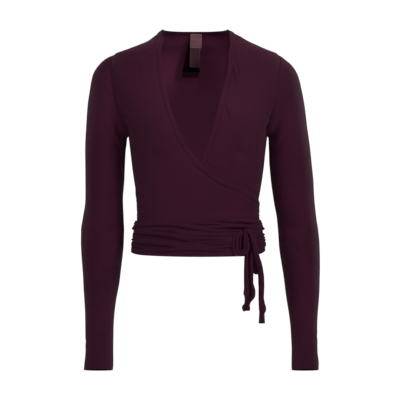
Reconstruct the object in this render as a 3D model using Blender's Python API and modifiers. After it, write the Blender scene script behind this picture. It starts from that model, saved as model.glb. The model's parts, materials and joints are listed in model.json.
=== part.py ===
"""Wrap top with long sleeves, open and hollow, in the shape it has when it is worn.

Every piece that lies on the body is a patch of one smooth form. A place on the form is a
turn in degrees (0 front centre, +90 the wearer's left side, -90 the right, 180 the back
centre) and a height. A piece is lifted off the form by the layers that lie beneath it.
Metres, +Z up, the front faces -Y. The origin is the middle of the shoulder line.
"""

import bpy
import math
from mathutils import Vector

# ---------------------------------------------------------------- driving sizes
MM = 0.001
WALL = 1.1 * MM            # jersey, thickened to a wall
SEAM_GAP = 0.4 * MM        # between two pieces that are sewn edge to edge
LAYER = 2.3 * MM           # one layer of cloth with the room above it
BAND_WIDTH = 10 * MM       # binding round the neck and the front edges
NECK_POINT = 1.2 * MM      # height of the neck points, where the shoulder seams begin
NECK_BAND_DEPTH = 7.8 * MM # how far the binding comes down at the back of the neck
TIE_WALL = 1.6 * MM        # the ties are sewn double

HEM_HEIGHT = -457 * MM
UNDERARM_HEIGHT = -218 * MM
SHOULDER_HEIGHT = -52 * MM
FRONT_END_TURN = 88.5      # where the over front ends, just short of the side seam
UNDER_END_TURN = -80.0     # where the hidden end of the under front stops
EDGE_FOOT_OVER = -349 * MM # low ends of the two front edges
EDGE_FOOT_UNDER = -345 * MM
LIFT_ABOVE = 22 * MM       # how far above the under edge the over front begins to rise,
LIFT_OVER = 16 * MM        # over what height it rises,
LIFT_BESIDE = 7            # and over how many degrees beside the side seam

# The form, one row for each level section, in millimetres.
FORM_COLUMNS = ("height", "half_width", "front", "back", "centre_x")
FORM = (
    (6, 62.0, 44, 50, -5.0),
    (0, 66.5, 47, 54, -4.8),
    (-8, 77.2, 53, 60, -3.0),
    (-16, 89.5, 58, 66, -0.4),
    (-25, 103.5, 63, 71, 0.8),
    (-33, 121.5, 68, 76, 0.0),
    (-41, 141.0, 72, 80, -1.6),
    (-52, 167.0, 76, 84, -2.6),
    (-75, 177.0, 83, 91, -1.0),
    (-100, 177.0, 89, 96, 0.0),
    (-130, 172.0, 96, 100, 0.3),
    (-160, 163.0, 102, 101, 0.6),
    (-190, 152.0, 106, 98, 0.8),
    (-218, 141.4, 107, 93, 0.8),
    (-245, 137.8, 105, 88, 0.8),
    (-287, 133.0, 100, 79, 1.0),
    (-328, 126.8, 95, 71, 1.0),
    (-349, 123.2, 93, 69, 1.0),
    (-370, 122.2, 92, 70, 1.0),
    (-390, 122.0, 93, 73, 1.2),
    (-410, 123.6, 95, 77, 1.5),
    (-430, 126.4, 98, 82, 1.5),
    (-464, 129.0, 101, 88, 1.0),
)
FRONT_POWER = 2.3          # superellipse powers of the sections
BACK_POWER = 2.5
# A gentle fullness on each side of the chest.
CHEST = {"x": 82 * MM, "height": -208 * MM, "spread": 40 * MM,
         "above": 58 * MM, "below": 38 * MM, "depth": 18 * MM}

# Front edges, from the low end up to the neck point, in degrees and millimetres.
PLACE_COLUMNS = ("turn", "height")
OVER_EDGE = ((88.5, -349), (60, -328), (30, -310), (5, -279), (-14, -234), (-24, -189),
             (-32, -145), (-39.6, -94), (-45, -48), (-60, -16), (-90, 1.2))
UNDER_EDGE = ((-80, -345), (-58, -332), (-29, -315), (0.6, -279), (11.2, -232), (17.8, -189),
              (24.6, -147), (34.6, -94), (43, -48), (56, -16), (90, 1.2))

# Armholes: how far the oval reaches before and behind the side line.
ARMHOLE_REACH = {"right": {"front": 38 * MM, "back": 50 * MM},
                 "left": {"front": 48 * MM, "back": 50 * MM}}
ARMHOLE_POWER = 0.75       # 0.5 is an oval, more is a pointed one

# Sleeves, one row for each ring, in millimetres. The outer and inner points are the ends of
# the ring across the arm, mid_y and half_depth its middle and half size from front to back.
RING_COLUMNS = ("outer_x", "outer_z", "inner_x", "inner_z", "mid_y", "half_depth")
RINGS = {
    "right": (
        (177.0, -52.5, 143.4, -219.6, 5, 46), (187.0, -57.4, 144.4, -221.2, 6, 48),
        (203.0, -71.8, 145.0, -223.0, 8, 50), (215.0, -92.0, 145.4, -225.5, 10, 50),
        (221.6, -123.0, 145.8, -229.5, 11, 49), (227.0, -164.0, 146.8, -237.0, 12, 47.5),
        (230.4, -215.0, 148.2, -247.0, 13, 46), (231.3, -266.0, 149.2, -270.0, 15, 45),
        (231.2, -308.0, 150.8, -308.0, 17, 44), (231.8, -350.0, 153.4, -350.0, 19, 43),
        (236.4, -386.0, 152.8, -386.0, 20, 42.5), (240.4, -412.0, 151.4, -412.0, 20, 42),
        (240.8, -435.0, 151.8, -435.0, 18.5, 41.5), (237.6, -484.0, 156.4, -484.0, 14, 39.5),
        (235.0, -515.0, 160.2, -515.0, 10, 37), (232.0, -555.0, 167.2, -555.0, 3, 32),
        (229.4, -615.0, 171.5, -615.0, -9, 27), (228.4, -656.0, 171.5, -656.0, -17, 25.5),
        (229.8, -680.0, 171.4, -680.0, -21, 26.5), (231.0, -693.7, 172.4, -693.7, -23.5, 26)),
    "left": (
        (171.0, -54.0, 145.0, -219.6, 1, 48), (179.6, -60.5, 145.6, -221.2, 3, 49),
        (193.0, -71.8, 146.0, -223.0, 6, 50), (206.0, -92.2, 146.2, -225.5, 10, 50),
        (214.4, -123.0, 146.4, -229.5, 11, 49), (221.6, -164.0, 146.8, -237.0, 12, 47.5),
        (228.2, -215.0, 147.2, -247.0, 13, 46), (234.4, -266.0, 147.6, -268.0, 15, 45),
        (238.8, -308.0, 151.2, -308.0, 17, 44), (241.6, -349.0, 156.6, -349.0, 19, 43),
        (244.8, -386.0, 164.0, -386.0, 20, 42.5), (248.8, -410.0, 166.0, -410.0, 20, 42),
        (251.8, -440.0, 167.6, -440.0, 18.5, 41.5), (252.4, -484.0, 173.5, -484.0, 14, 39.5),
        (251.2, -515.0, 178.4, -515.0, 10, 37), (248.8, -555.0, 183.3, -555.0, 3, 32),
        (244.8, -615.0, 190.4, -615.0, -9, 27), (244.8, -656.0, 191.8, -656.0, -17, 25.5),
        (246.6, -680.0, 191.6, -680.0, -21, 26.5), (246.0, -693.7, 191.8, -693.7, -23.5, 26)),
}

# The wrapped waist: its upper edge round the body, in the columns of PLACE_COLUMNS.
SASH_TOP = ((-180, -386), (-90, -391), (0, -389), (60, -384), (90, -379), (130, -382), (180, -386))
SASH_HEM = -460 * MM
SASH_WALL = 1.4 * MM
SASH_ROOM = 0.8 * MM       # between the waist and what it lies on
SASH_EASE = 2.4 * MM       # room in which its folds rise and fall
SASH_RIM = 9 * MM          # over which folds die away to the upper edge
SASH_STEP_IN = (91, 103)   # degrees from the front where the sash comes down by one layer
FOLD_FADE = 0.18           # share of a fold's length over which each end dies away
GATHER_PITCH = 10 * MM     # small gathers at both side seams
GATHER_DEPTH = 1.3 * MM
GATHER_SPREAD = 15         # degrees

# Folds of the waist, one row each, in degrees and millimetres: the two ends and the middle,
# the depth (a trough is negative) and the half width.
FOLD_COLUMNS = ("turn_a", "height_a", "height_mid", "turn_b", "height_b", "depth", "half_width")
SASH_FOLDS = (
    (-100, -412, -421, 12, -429, -2.3, 3.6),
    (-96, -401, -404, 34, -413, -1.6, 3.4),
    (-70, -408, -413, 40, -420, 1.3, 4.0),
    (-92, -434, -440, -8, -452, -1.3, 3.6),
    (-30, -425, -431, 52, -428, 1.4, 4.0),
    (-60, -447, -452, 45, -445, -1.6, 3.4),
    (-10, -397, -400, 62, -404, 1.4, 3.8),
    (6, -392, -395, 74, -398, -1.5, 3.2),
    (20, -404, -406, 96, -404, -1.4, 3.4),
    (0, -437, -441, 50, -436, -1.2, 3.2),
    (66, -412, -416, 150, -419, -1.8, 3.6),
    (72, -428, -431, 170, -437, 1.4, 4.2),
    (80, -440, -446, 200, -447, -1.5, 3.6),
    (110, -396, -401, 235, -405, -1.7, 3.6),
    (140, -409, -414, 262, -411, 1.5, 4.2),
    (150, -424, -429, 268, -421, -2.0, 3.6),
    (185, -436, -441, 270, -436, 1.3, 4.0),
)

# Bow and ties, one row for each station along a strip, in millimetres and degrees. Facing is
# the yaw of its face, 0 to the front, and cup is how far its middle bows out.
STRIP_COLUMNS = ("x", "y", "z", "width", "facing", "cup")
KNOT = {"centre": (100.4, -85.0, -411.5), "radii": (8.5, 5.0, 6.0)}
STRIPS = {
    "bow_loop_left": (
        (94.4, -88.8, -417.0, 5.0, 28, 0.6), (96.8, -95.0, -428.0, 13.0, 22, 2.6),
        (96.8, -98.0, -441.0, 14.0, 20, 3.0), (93.8, -99.5, -450.5, 12.5, 20, 2.6),
        (87.4, -101.0, -455.0, 10.0, 20, 2.0), (81.2, -102.5, -451.0, 12.5, 20, 2.4),
        (78.8, -102.0, -441.0, 14.5, 20, 3.0), (80.6, -99.0, -429.0, 13.0, 20, 2.4),
        (85.6, -94.0, -419.5, 9.5, 24, 1.4), (90.6, -89.5, -414.5, 6.5, 30, 0.8)),
    "bow_loop_right": (
        (107.4, -81.8, -415.6, 3.5, 30, 0.4), (109.6, -80.6, -428.0, 5.0, 28, 0.6),
        (110.8, -82.0, -442.0, 6.0, 25, 0.8),
        (112.2, -83.0, -460.0, 6.5, 25, 1.0), (112.8, -83.0, -478.0, 6.5, 25, 1.0),
        (114.6, -82.6, -489.0, 5.0, 25, 0.8), (118.4, -81.2, -490.5, 4.6, 25, 0.8),
        (120.8, -79.5, -480.0, 6.0, 25, 1.0), (120.6, -78.0, -464.0, 6.0, 25, 0.8),
        (118.6, -76.0, -448.0, 5.5, 25, 0.6)),
    "tie_end_left": (
        (102.0, -84.2, -417.8, 5.0, 24, 0.5), (103.0, -86.4, -434.0, 8.0, 20, 1.0),
        (101.8, -89.5, -450.0, 13.0, 16, 1.4), (101.6, -91.0, -468.0, 17.5, 12, 2.0),
        (101.6, -91.0, -490.0, 17.5, 10, 2.4), (101.6, -91.0, -512.0, 18.0, 10, 2.6),
        (103.6, -91.0, -529.0, 22.5, 10, 3.2), (103.4, -91.0, -538.0, 22.0, 10, 3.0),
        (99.8, -91.0, -549.0, 13.0, 10, 2.0), (98.0, -91.0, -556.0, 11.0, 8, 1.6),
        (96.0, -91.0, -563.0, 14.5, 4, 1.0), (96.4, -91.0, -569.0, 12.0, 0, 0.6)),
    "tie_end_right": (
        (105.4, -87.4, -415.9, 4.0, 30, 0.6), (110.6, -91.2, -430.0, 10.0, 28, 1.6),
        (113.4, -92.0, -443.0, 11.0, 26, 2.0), (116.6, -91.5, -457.0, 12.0, 26, 2.2),
        (120.4, -90.5, -471.0, 12.5, 24, 2.2), (124.8, -89.5, -486.0, 12.5, 20, 2.0),
        (126.6, -89.0, -502.0, 12.0, 16, 1.8), (126.8, -89.0, -522.0, 11.5, 14, 1.6),
        (126.4, -89.0, -540.0, 10.5, 14, 1.6), (127.8, -89.0, -554.0, 12.0, 14, 1.8),
        (129.2, -89.0, -565.0, 13.5, 14, 1.6), (127.0, -89.0, -574.0, 9.5, 10, 1.0),
        (126.6, -89.0, -590.0, 11.0, 6, 0.8)),
}

# Labels in the back of the neck, both blank, in millimetres and degrees: x, then y and z of
# the middle of the top edge, size, and how far the label leans back.
LABEL_THICKNESS = 1.0 * MM
LABELS = {
    "neck_label": {"x": -4.2, "top": (53.3, -2.2), "width": 25.5, "length": 29.5, "lean": 18},
    "care_label": {"x": -6.4, "top": (54.9, -3.0), "width": 22.5, "length": 69.0, "lean": 18},
}

# Mesh steps: enough to keep each form, few enough to stay light. Pieces that are sewn
# together share the steps along their seam, so that the gap between them stays even.
ARMHOLE_ROWS = 9           # from the underarm to the shoulder, in front and behind
EDGE_ROWS = 20             # along a front edge
NECK_COLUMNS = 16          # along the back neck
SHOULDER_COLUMNS = 5       # along a shoulder seam of the back
FRONT_STEPS = (22, 24)     # columns, rows
UNDER_STEPS = (20, 24)
BACK_STEPS = (NECK_COLUMNS + 2 * SHOULDER_COLUMNS, 20)
TOP_PULL = 5               # how soon a panel's rows turn from the outline of its top
CAP_RINGS = 8              # rows of the sleeve table that are read twice as closely
CAP_BLEND, CAP_START = 6, 0.6    # rows over which the armhole's shape turns into the arm's
LEAN_FROM, LEAN_OVER = 8, 4    # rows from which, and over which, rings turn square to the arm
SASH_STEPS = (56, 20)
STRIP_STEPS = (2, 4)       # between two stations, and across
TURN_STEP, HEIGHT_STEP = 0.5, 1 * MM    # for the slopes of the form
EDGE_STEP = 0.004          # share of an edge, for its direction

# Finishes: colour, roughness.
JERSEY = ("jersey", (0.036, 0.009, 0.018, 1), 0.85)
SATIN = ("label_satin", (0.17, 0.08, 0.10, 1), 0.45)
TAFFETA = ("care_tape", (0.040, 0.012, 0.020, 1), 0.6)


# ---------------------------------------------------------------- reading the tables
class Smooth:
    """A monotone cubic through the rows of a table, read at any place along them."""

    def __init__(self, places, values):
        order = sorted(range(len(places)), key=lambda i: places[i])
        self.x = [places[i] for i in order]
        self.y = [values[i] for i in order]
        steps = [b - a for a, b in zip(self.x, self.x[1:])]
        rises = [(b - a) / s for a, b, s in zip(self.y, self.y[1:], steps)]
        self.slope = [rises[0]]
        for i in range(1, len(rises)):
            if rises[i - 1] * rises[i] <= 0:
                self.slope.append(0.0)
                continue
            w1, w2 = 2 * steps[i] + steps[i - 1], steps[i] + 2 * steps[i - 1]
            self.slope.append((w1 + w2) / (w1 / rises[i - 1] + w2 / rises[i]))
        self.slope.append(rises[-1])

    def __call__(self, place):
        place = min(max(place, self.x[0]), self.x[-1])
        i = 0
        while i < len(self.x) - 2 and place > self.x[i + 1]:
            i += 1
        h = self.x[i + 1] - self.x[i]
        s = (place - self.x[i]) / h
        return ((2 * s ** 3 - 3 * s ** 2 + 1) * self.y[i]
                + (s ** 3 - 2 * s ** 2 + s) * h * self.slope[i]
                + (3 * s ** 2 - 2 * s ** 3) * self.y[i + 1]
                + (s ** 3 - s ** 2) * h * self.slope[i + 1])


def curves(names, rows, along=None):
    """Each column of a table as a curve, by name, read along one column or the row number."""
    table = dict(zip(names, zip(*rows)))
    places = table[along] if along else range(len(rows))
    return {name: Smooth(places, table[name]) for name in names}


def between(a, b, t):
    return a + (b - a) * t


def ease(t):
    """0 below 0, 1 above 1, and a soft step in between."""
    t = min(max(t, 0.0), 1.0)
    return t * t * (3 - 2 * t)


# ---------------------------------------------------------------- the form
form = curves(FORM_COLUMNS, FORM, "height")


def form_size(name, height):
    return form[name](height / MM) * MM


def section_point(turn, height):
    """A point of the bare form."""
    angle = math.radians(turn)
    side, ahead = math.sin(angle), math.cos(angle)
    depth, power = ("front", FRONT_POWER) if ahead > 0 else ("back", BACK_POWER)
    reach = ((abs(side) / form_size("half_width", height)) ** power
             + (abs(ahead) / form_size(depth, height)) ** power)
    radius = reach ** (-1 / power)
    x = form_size("centre_x", height) + radius * side
    y = -radius * ahead
    if ahead > 0:
        rise = CHEST["above"] if height > CHEST["height"] else CHEST["below"]
        for sign in (-1, 1):
            across = (x - sign * CHEST["x"]) / CHEST["spread"]
            along = (height - CHEST["height"]) / rise
            y -= CHEST["depth"] * ahead ** 1.2 * math.exp(-(across ** 2 + along ** 2) / 2)
    return Vector((x, y, height))


def slopes(turn, height):
    """How the form runs per degree of turn and per metre of height."""
    per_turn = section_point(turn + TURN_STEP, height) - section_point(turn - TURN_STEP, height)
    per_height = section_point(turn, height + HEIGHT_STEP) - section_point(turn, height - HEIGHT_STEP)
    return per_turn / (2 * TURN_STEP), per_height / (2 * HEIGHT_STEP)


def form_point(turn, height, lift=0.0):
    """A point lifted off the form along its normal."""
    per_turn, per_height = slopes(turn, height)
    return section_point(turn, height) + per_turn.cross(per_height).normalized() * lift


def turn_at_depth(height, reach, ahead):
    """The turn where the form is `reach` before (or behind) the side line."""
    depth, power = ("front", FRONT_POWER) if ahead else ("back", BACK_POWER)
    share = 1 - (reach / form_size(depth, height)) ** power
    width = form_size("half_width", height) * share ** (1 / power)
    turn = math.degrees(math.atan2(width, reach))
    return turn if ahead else 180 - turn


def seam_turn(height, ahead):
    """The side and shoulder seams lie at 90 degrees, less half of the seam's gap."""
    half_gap = math.degrees(SEAM_GAP / 2 / form_size("half_width", height))
    return 90 - half_gap if ahead else 90 + half_gap


# ---------------------------------------------------------------- outlines of the pieces
def armhole(side, ahead, t, inset=0.0):
    """A place on the armhole, from the underarm (t = 0) to the shoulder (t = 1)."""
    middle = (UNDERARM_HEIGHT + SHOULDER_HEIGHT) / 2
    half = (SHOULDER_HEIGHT - UNDERARM_HEIGHT) / 2 - inset
    angle = math.pi * (t - 0.5)
    reach = ARMHOLE_REACH[side]["front" if ahead else "back"]
    height = middle + half * math.sin(angle)
    reach = max(reach * max(math.cos(angle), 0.0) ** ARMHOLE_POWER - inset, 0.0)
    turn = turn_at_depth(height, reach, ahead)
    return turn, height


def side_outline(side, ahead, rows):
    """Side seam up to the underarm, then the armhole: a function of 0 to 1."""
    sign = 1 if side == "left" else -1
    share = 1 - ARMHOLE_ROWS / rows

    def place(t):
        if t < share:
            height = between(HEM_HEIGHT, UNDERARM_HEIGHT, t / share)
            turn = seam_turn(height, ahead)
        else:
            turn, height = armhole(side, ahead, (t - share) / (1 - share))
            seam = seam_turn(height, ahead)
            turn = min(turn, seam) if ahead else max(turn, seam)
        if ahead:
            return sign * turn, height
        return (turn, height) if side == "left" else (360 - turn, height)
    return place


def edge_curve(rows):
    """A front edge as a function of 0 (low end) to 1 (neck point)."""
    points = [section_point(turn, height * MM) for turn, height in rows]
    lengths = [0.0]
    for a, b in zip(points, points[1:]):
        lengths.append(lengths[-1] + (b - a).length)
    places = [length / lengths[-1] for length in lengths]
    turns, heights = (Smooth(places, column) for column in zip(*rows))
    return lambda t: (turns(t), heights(t) * MM)


def moved_in(edge, t, distance, sign):
    """The place `distance` from an edge, measured across it on the form."""
    turn, height = edge(t)
    before, after = edge(max(t - EDGE_STEP, 0.0)), edge(min(t + EDGE_STEP, 1.0))
    along = section_point(*after) - section_point(*before)
    per_turn, per_height = slopes(turn, height)
    normal = per_turn.cross(per_height)
    across = normal.cross(along).normalized() * distance * sign
    turn += across.dot(per_turn) / per_turn.length_squared
    height += across.dot(per_height) / per_height.length_squared
    return turn, height


def end_share(side):
    """The share of a front's rows that lie along its upright end, below the edge."""
    rows = FRONT_STEPS[1] if side == "right" else UNDER_STEPS[1]
    return 1 - EDGE_ROWS / rows


def front_outline(side, distance):
    """Inner outline of a front: its hidden end up to the edge, then the edge to the neck."""
    over = side == "right"
    edge = edge_curve(OVER_EDGE if over else UNDER_EDGE)
    foot = EDGE_FOOT_OVER if over else EDGE_FOOT_UNDER
    end_turn = FRONT_END_TURN if over else UNDER_END_TURN
    sign = 1 if over else -1
    share = end_share(side)

    def place(t):
        if t < share:
            return end_turn, between(HEM_HEIGHT, foot - distance, t / share)
        turn, height = moved_in(edge, (t - share) / (1 - share), distance, sign)
        if over:
            return min(max(turn, -seam_turn(height, True)), end_turn), height
        return max(min(turn, seam_turn(height, True)), end_turn), height
    return place


# ---------------------------------------------------------------- layers
under_edge = curves(PLACE_COLUMNS, UNDER_EDGE, "turn")


def under_layer(turn, height):
    """1 where the under front lies beneath the over front, 0 clear of its edge."""
    start = under_edge["height"](turn) * MM + LIFT_ABOVE
    return ease((start - height) / LIFT_OVER)


def over_lift(turn, height):
    """The over front comes down to the form at its side seam, where nothing lies beneath."""
    beside_seam = ease((turn + 90) / LIFT_BESIDE)
    return WALL + LAYER * under_layer(turn, height) * beside_seam


def flat_lift(turn, height):
    return WALL


# ---------------------------------------------------------------- making objects
def clear_scene():
    for old in list(bpy.data.objects):
        bpy.data.objects.remove(old, do_unlink=True)


def finish(name, colour, roughness):
    material = bpy.data.materials.get(name) or bpy.data.materials.new(name)
    material.use_nodes = True
    shader = material.node_tree.nodes["Principled BSDF"]
    shader.inputs["Base Color"].default_value = colour
    shader.inputs["Roughness"].default_value = roughness
    shader.inputs["Metallic"].default_value = 0.0
    material.diffuse_color = colour
    return material


def add_object(name, mesh, finish_values, home):
    thing = bpy.data.objects.new(name, mesh)
    mesh.materials.append(finish(*finish_values))
    mesh.shade_smooth()
    home.objects.link(thing)
    return thing


def grid_faces(rows, columns, closed):
    """Quads of a grid of points, row by row, closed round its columns or open."""
    last = columns if closed else columns - 1
    return [(r * columns + c, r * columns + (c + 1) % columns,
             (r + 1) * columns + (c + 1) % columns, (r + 1) * columns + c)
            for r in range(rows - 1) for c in range(last)]


def cloth(name, grid, wall, finish_values, home, closed=False, flip=False):
    """An open surface through a grid of points, thickened inward to a wall."""
    faces = grid_faces(len(grid), len(grid[0]), closed)
    if flip:
        faces = [tuple(reversed(face)) for face in faces]
    mesh = bpy.data.meshes.new(name)
    mesh.from_pydata([point for row in grid for point in row], [], faces)
    thing = add_object(name, mesh, finish_values, home)
    thicken = thing.modifiers.new("wall", "SOLIDIFY")
    thicken.thickness = wall
    thicken.offset = -1.0
    return thing


# ---------------------------------------------------------------- the pieces
def panel(name, bottom, top, left, right, steps, lift, home):
    """A cut panel: a patch of the form between four outlines, each a function of 0 to 1."""
    columns, rows = steps
    corners = bottom(0), bottom(1), top(0), top(1)
    grid = []
    for r in range(rows + 1):
        v = r / rows
        pull = v ** TOP_PULL
        line = []
        for c in range(columns + 1):
            u = c / columns
            place = [between(left(v)[k], right(v)[k], u)
                     + (1 - v) * (bottom(u)[k] - between(corners[0][k], corners[1][k], u))
                     + pull * (top(u)[k] - between(corners[2][k], corners[3][k], u))
                     for k in (0, 1)]
            line.append(form_point(*place, lift(*place)))
        grid.append(line)
    return cloth(name, grid, WALL, JERSEY, home)


def straight(a, b):
    return lambda t: (between(a[0], b[0], t), between(a[1], b[1], t))


def front_panel(side, home):
    inner = front_outline(side, BAND_WIDTH + SEAM_GAP)
    steps, lift = (FRONT_STEPS, over_lift) if side == "right" else (UNDER_STEPS, flat_lift)
    outer = side_outline(side, True, steps[1])
    left, right = (outer, inner) if side == "right" else (inner, outer)
    return panel("front_" + side, straight(left(0), right(0)), straight(left(1), right(1)),
                 left, right, steps, lift, home)


def neck_line(drop):
    """The back neck as a function of 0 (left shoulder) to 1 (right shoulder)."""
    def place(t):
        height = NECK_POINT - drop + 1 * MM * math.sin(math.pi * t)
        start = seam_turn(height, False)
        return between(start, 360 - start, t), height
    return place


def back_top(t):
    """Left shoulder seam, back neck under its binding, right shoulder seam."""
    share = SHOULDER_COLUMNS / BACK_STEPS[0]
    neck = neck_line(NECK_BAND_DEPTH + SEAM_GAP)
    if t < share:
        height = between(SHOULDER_HEIGHT, neck(0)[1], t / share)
        return seam_turn(height, False), height
    if t > 1 - share:
        height = between(neck(1)[1], SHOULDER_HEIGHT, (t - 1 + share) / share)
        return 360 - seam_turn(height, False), height
    return neck((t - share) / (1 - 2 * share))


def back_panel(home):
    left, right = (side_outline(side, False, BACK_STEPS[1]) for side in ("left", "right"))
    return panel("back", straight(left(0), right(0)), back_top, left, right,
                 BACK_STEPS, flat_lift, home)


def front_band(side, home):
    """Binding along a front edge, from its low end to the shoulder seam."""
    over = side == "right"
    lift = over_lift if over else flat_lift
    at_edge, inside = front_outline(side, 0.0), front_outline(side, BAND_WIDTH)
    grid = []
    for r in range(EDGE_ROWS + 1):
        t = between(end_share(side), 1.0, r / EDGE_ROWS)
        ends = (inside(t), at_edge(t)) if over else (at_edge(t), inside(t))
        line = []
        for c in range(3):
            place = [between(ends[0][k], ends[1][k], c / 2) for k in (0, 1)]
            line.append(form_point(*place, lift(*place)))
        grid.append(line)
    return cloth("band_" + side, grid, WALL, JERSEY, home)


def back_band(home):
    low, high = neck_line(NECK_BAND_DEPTH), neck_line(0.0)
    grid = []
    for r in range(3):
        line = []
        for c in range(NECK_COLUMNS + 1):
            t = c / NECK_COLUMNS
            place = [between(low(t)[k], high(t)[k], r / 2) for k in (0, 1)]
            line.append(form_point(*place, WALL))
        grid.append(line)
    return cloth("band_back", grid, WALL, JERSEY, home)


def sleeve(side, home):
    """A tube from the armhole to the cuff."""
    sign = 1 if side == "left" else -1
    around = 2 * ARMHOLE_ROWS
    first = armhole_ring(side, around)
    read = curves(RING_COLUMNS, RINGS[side])
    cap = [r / 2 for r in range(2 * CAP_RINGS)]
    arm = list(range(CAP_RINGS, len(RINGS[side])))

    def flat_ring(row, ends=None):
        at = {name: curve(row) * MM for name, curve in read.items()}
        step_y, step_z = (read[name](row + 0.5) - read[name](row - 0.5) for name in ("mid_y", "outer_z"))
        lean = math.atan2(-step_y, -step_z) * ease((row - LEAN_FROM) / LEAN_OVER)
        inner, outer = ends or [Vector((sign * at[end + "_x"], at["mid_y"], at[end + "_z"]))
                                for end in ("inner", "outer")]
        ahead = Vector((0, -math.cos(lean), math.sin(lean))) * at["half_depth"]
        angles = [math.tau * c / around for c in range(around)]
        return [(inner + outer) / 2 + (inner - outer) / 2 * math.cos(a) + ahead * math.sin(a)
                for a in angles]

    level = [p - q for p, q in zip(first, flat_ring(0, (first[0], first[around // 2])))]
    grid = [first]
    for row in cap + arm:
        share = 1 - ease((row + CAP_START) / CAP_BLEND)
        grid.append([p + bend * share for p, bend in zip(flat_ring(row), level)])
    return cloth("sleeve_" + side, grid, WALL, JERSEY, home, closed=True, flip=side == "left")


def armhole_ring(side, around):
    """The sleeve's first ring, just inside the armhole: underarm, front, shoulder, back."""
    sign = 1 if side == "left" else -1
    ring = []
    for c in range(around):
        share = 2 * c / around
        ahead = share <= 1
        turn, height = armhole(side, ahead, share if ahead else 2 - share, SEAM_GAP)
        ring.append(form_point(sign * turn, height, WALL))
    return ring


# ---------------------------------------------------------------- the wrapped waist
sash_edge = curves(PLACE_COLUMNS, SASH_TOP, "turn")


def sash_top(turn):
    return sash_edge["height"](turn) * MM


def wrapped_turn(turn):
    return (turn + 180) % 360 - 180


def fold_relief(turn, height):
    """Sum of the long folds of the waist at one place."""
    total = 0.0
    for row in SASH_FOLDS:
        fold = dict(zip(FOLD_COLUMNS, row))
        bow = fold["height_mid"] - (fold["height_a"] + fold["height_b"]) / 2
        for lap in (-360, 0, 360):
            share = (turn + lap - fold["turn_a"]) / (fold["turn_b"] - fold["turn_a"])
            if not 0 <= share <= 1:
                continue
            centre = between(fold["height_a"], fold["height_b"], share) + 4 * share * (1 - share) * bow
            fade = ease(share / FOLD_FADE) * ease((1 - share) / FOLD_FADE)
            total += fold["depth"] * fade * math.exp(-((height / MM - centre) / fold["half_width"]) ** 2)
    return total * MM


def gather_relief(turn, height):
    """Small ridges where the waist is gathered into the side seams."""
    from_seam = (abs(wrapped_turn(turn)) - 90) / GATHER_SPREAD
    return GATHER_DEPTH * math.exp(-from_seam ** 2) * math.sin(math.tau * height / GATHER_PITCH)


def sash_base(turn):
    """Two layers lie beneath the waist in front, one behind."""
    start, end = SASH_STEP_IN
    layers = 1 + ease((end - abs(wrapped_turn(turn))) / (end - start))
    return layers * LAYER + SASH_ROOM


def sash_outer(turn, height, top):
    """The outer face: folds and gathers that die away at the upper edge."""
    rim = ease((top - height) / SASH_RIM)
    relief = fold_relief(turn, height) + gather_relief(turn, height)
    rise = SASH_EASE * between(0.35, 1.0, rim) + rim * relief
    return form_point(turn, height, sash_base(turn) + SASH_WALL + rise)


def waist_sash(home):
    """A ring whose outer face carries the folds over a plain inside."""
    around, rows = SASH_STEPS
    points = []
    turns = [360 * c / around - 180 for c in range(around)]
    for r in range(rows + 1):
        for turn in turns:
            top = sash_top(turn)
            points.append(sash_outer(turn, between(SASH_HEM, top, r / rows), top))
    faces = grid_faces(rows + 1, around, True)
    low, high, outer_top = len(points), len(points) + around, rows * around
    for r in range(2):
        for turn in turns:
            points.append(form_point(turn, between(SASH_HEM, sash_top(turn), r), sash_base(turn)))
    for c in range(around):
        after = (c + 1) % around
        faces.append((low + after, low + c, high + c, high + after))
        faces.append((c, low + c, low + after, after))
        faces.append((outer_top + after, high + after, high + c, outer_top + c))
    mesh = bpy.data.meshes.new("waist_sash")
    mesh.from_pydata(points, [], faces)
    return add_object("waist_sash", mesh, JERSEY, home)


# ---------------------------------------------------------------- bow, ties, labels
def strip(name, rows, home):
    """A soft strip along its stations, bowed out in the middle."""
    steps, across_steps = STRIP_STEPS
    read = curves(STRIP_COLUMNS, rows)
    count = (len(rows) - 1) * steps
    grid = []
    for r in range(count + 1):
        place = r / steps
        at = {name: curve(place) for name, curve in read.items()}
        run = Vector([read[k](place + 0.25) - read[k](place - 0.25) for k in "xyz"]).normalized()
        yaw = math.radians(at["facing"])
        face = Vector((math.sin(yaw), -math.cos(yaw), 0))
        face = (face - run * face.dot(run)).normalized()
        across = run.cross(face) * at["width"] / 2
        middle = Vector((at["x"], at["y"], at["z"]))
        grid.append([(middle + across * s + face * at["cup"] * (1 - s * s)) * MM
                     for s in (2 * c / across_steps - 1 for c in range(across_steps + 1))])
    return cloth(name, grid, TIE_WALL, JERSEY, home, flip=True)


def take_home(thing, name, home):
    """Name a new primitive and move it into the garment's collection."""
    thing.name = name
    for old in list(thing.users_collection):
        old.objects.unlink(thing)
    home.objects.link(thing)


def bow_knot(home):
    bpy.ops.mesh.primitive_uv_sphere_add(segments=14, ring_count=8, radius=1.0)
    knot = bpy.context.object
    for vertex in knot.data.vertices:
        vertex.co = Vector([vertex.co[k] * KNOT["radii"][k] * MM for k in range(3)])
    knot.location = Vector(KNOT["centre"]) * MM
    knot.data.materials.append(finish(*JERSEY))
    knot.data.shade_smooth()
    take_home(knot, "bow_knot", home)


def label(name, spec, finish_values, home):
    """A plain plate that hangs from the middle of its top edge."""
    bpy.ops.mesh.primitive_cube_add(size=1.0)
    plate = bpy.context.object
    size = Vector((spec["width"] * MM, LABEL_THICKNESS, spec["length"] * MM))
    for vertex in plate.data.vertices:
        vertex.co = Vector([vertex.co[k] * size[k] for k in range(3)])
        vertex.co.z -= size.z / 2
    plate.location = (spec["x"] * MM, spec["top"][0] * MM, spec["top"][1] * MM)
    plate.rotation_euler = (math.radians(spec["lean"]), 0, 0)
    plate.data.materials.append(finish(*finish_values))
    take_home(plate, name, home)


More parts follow.
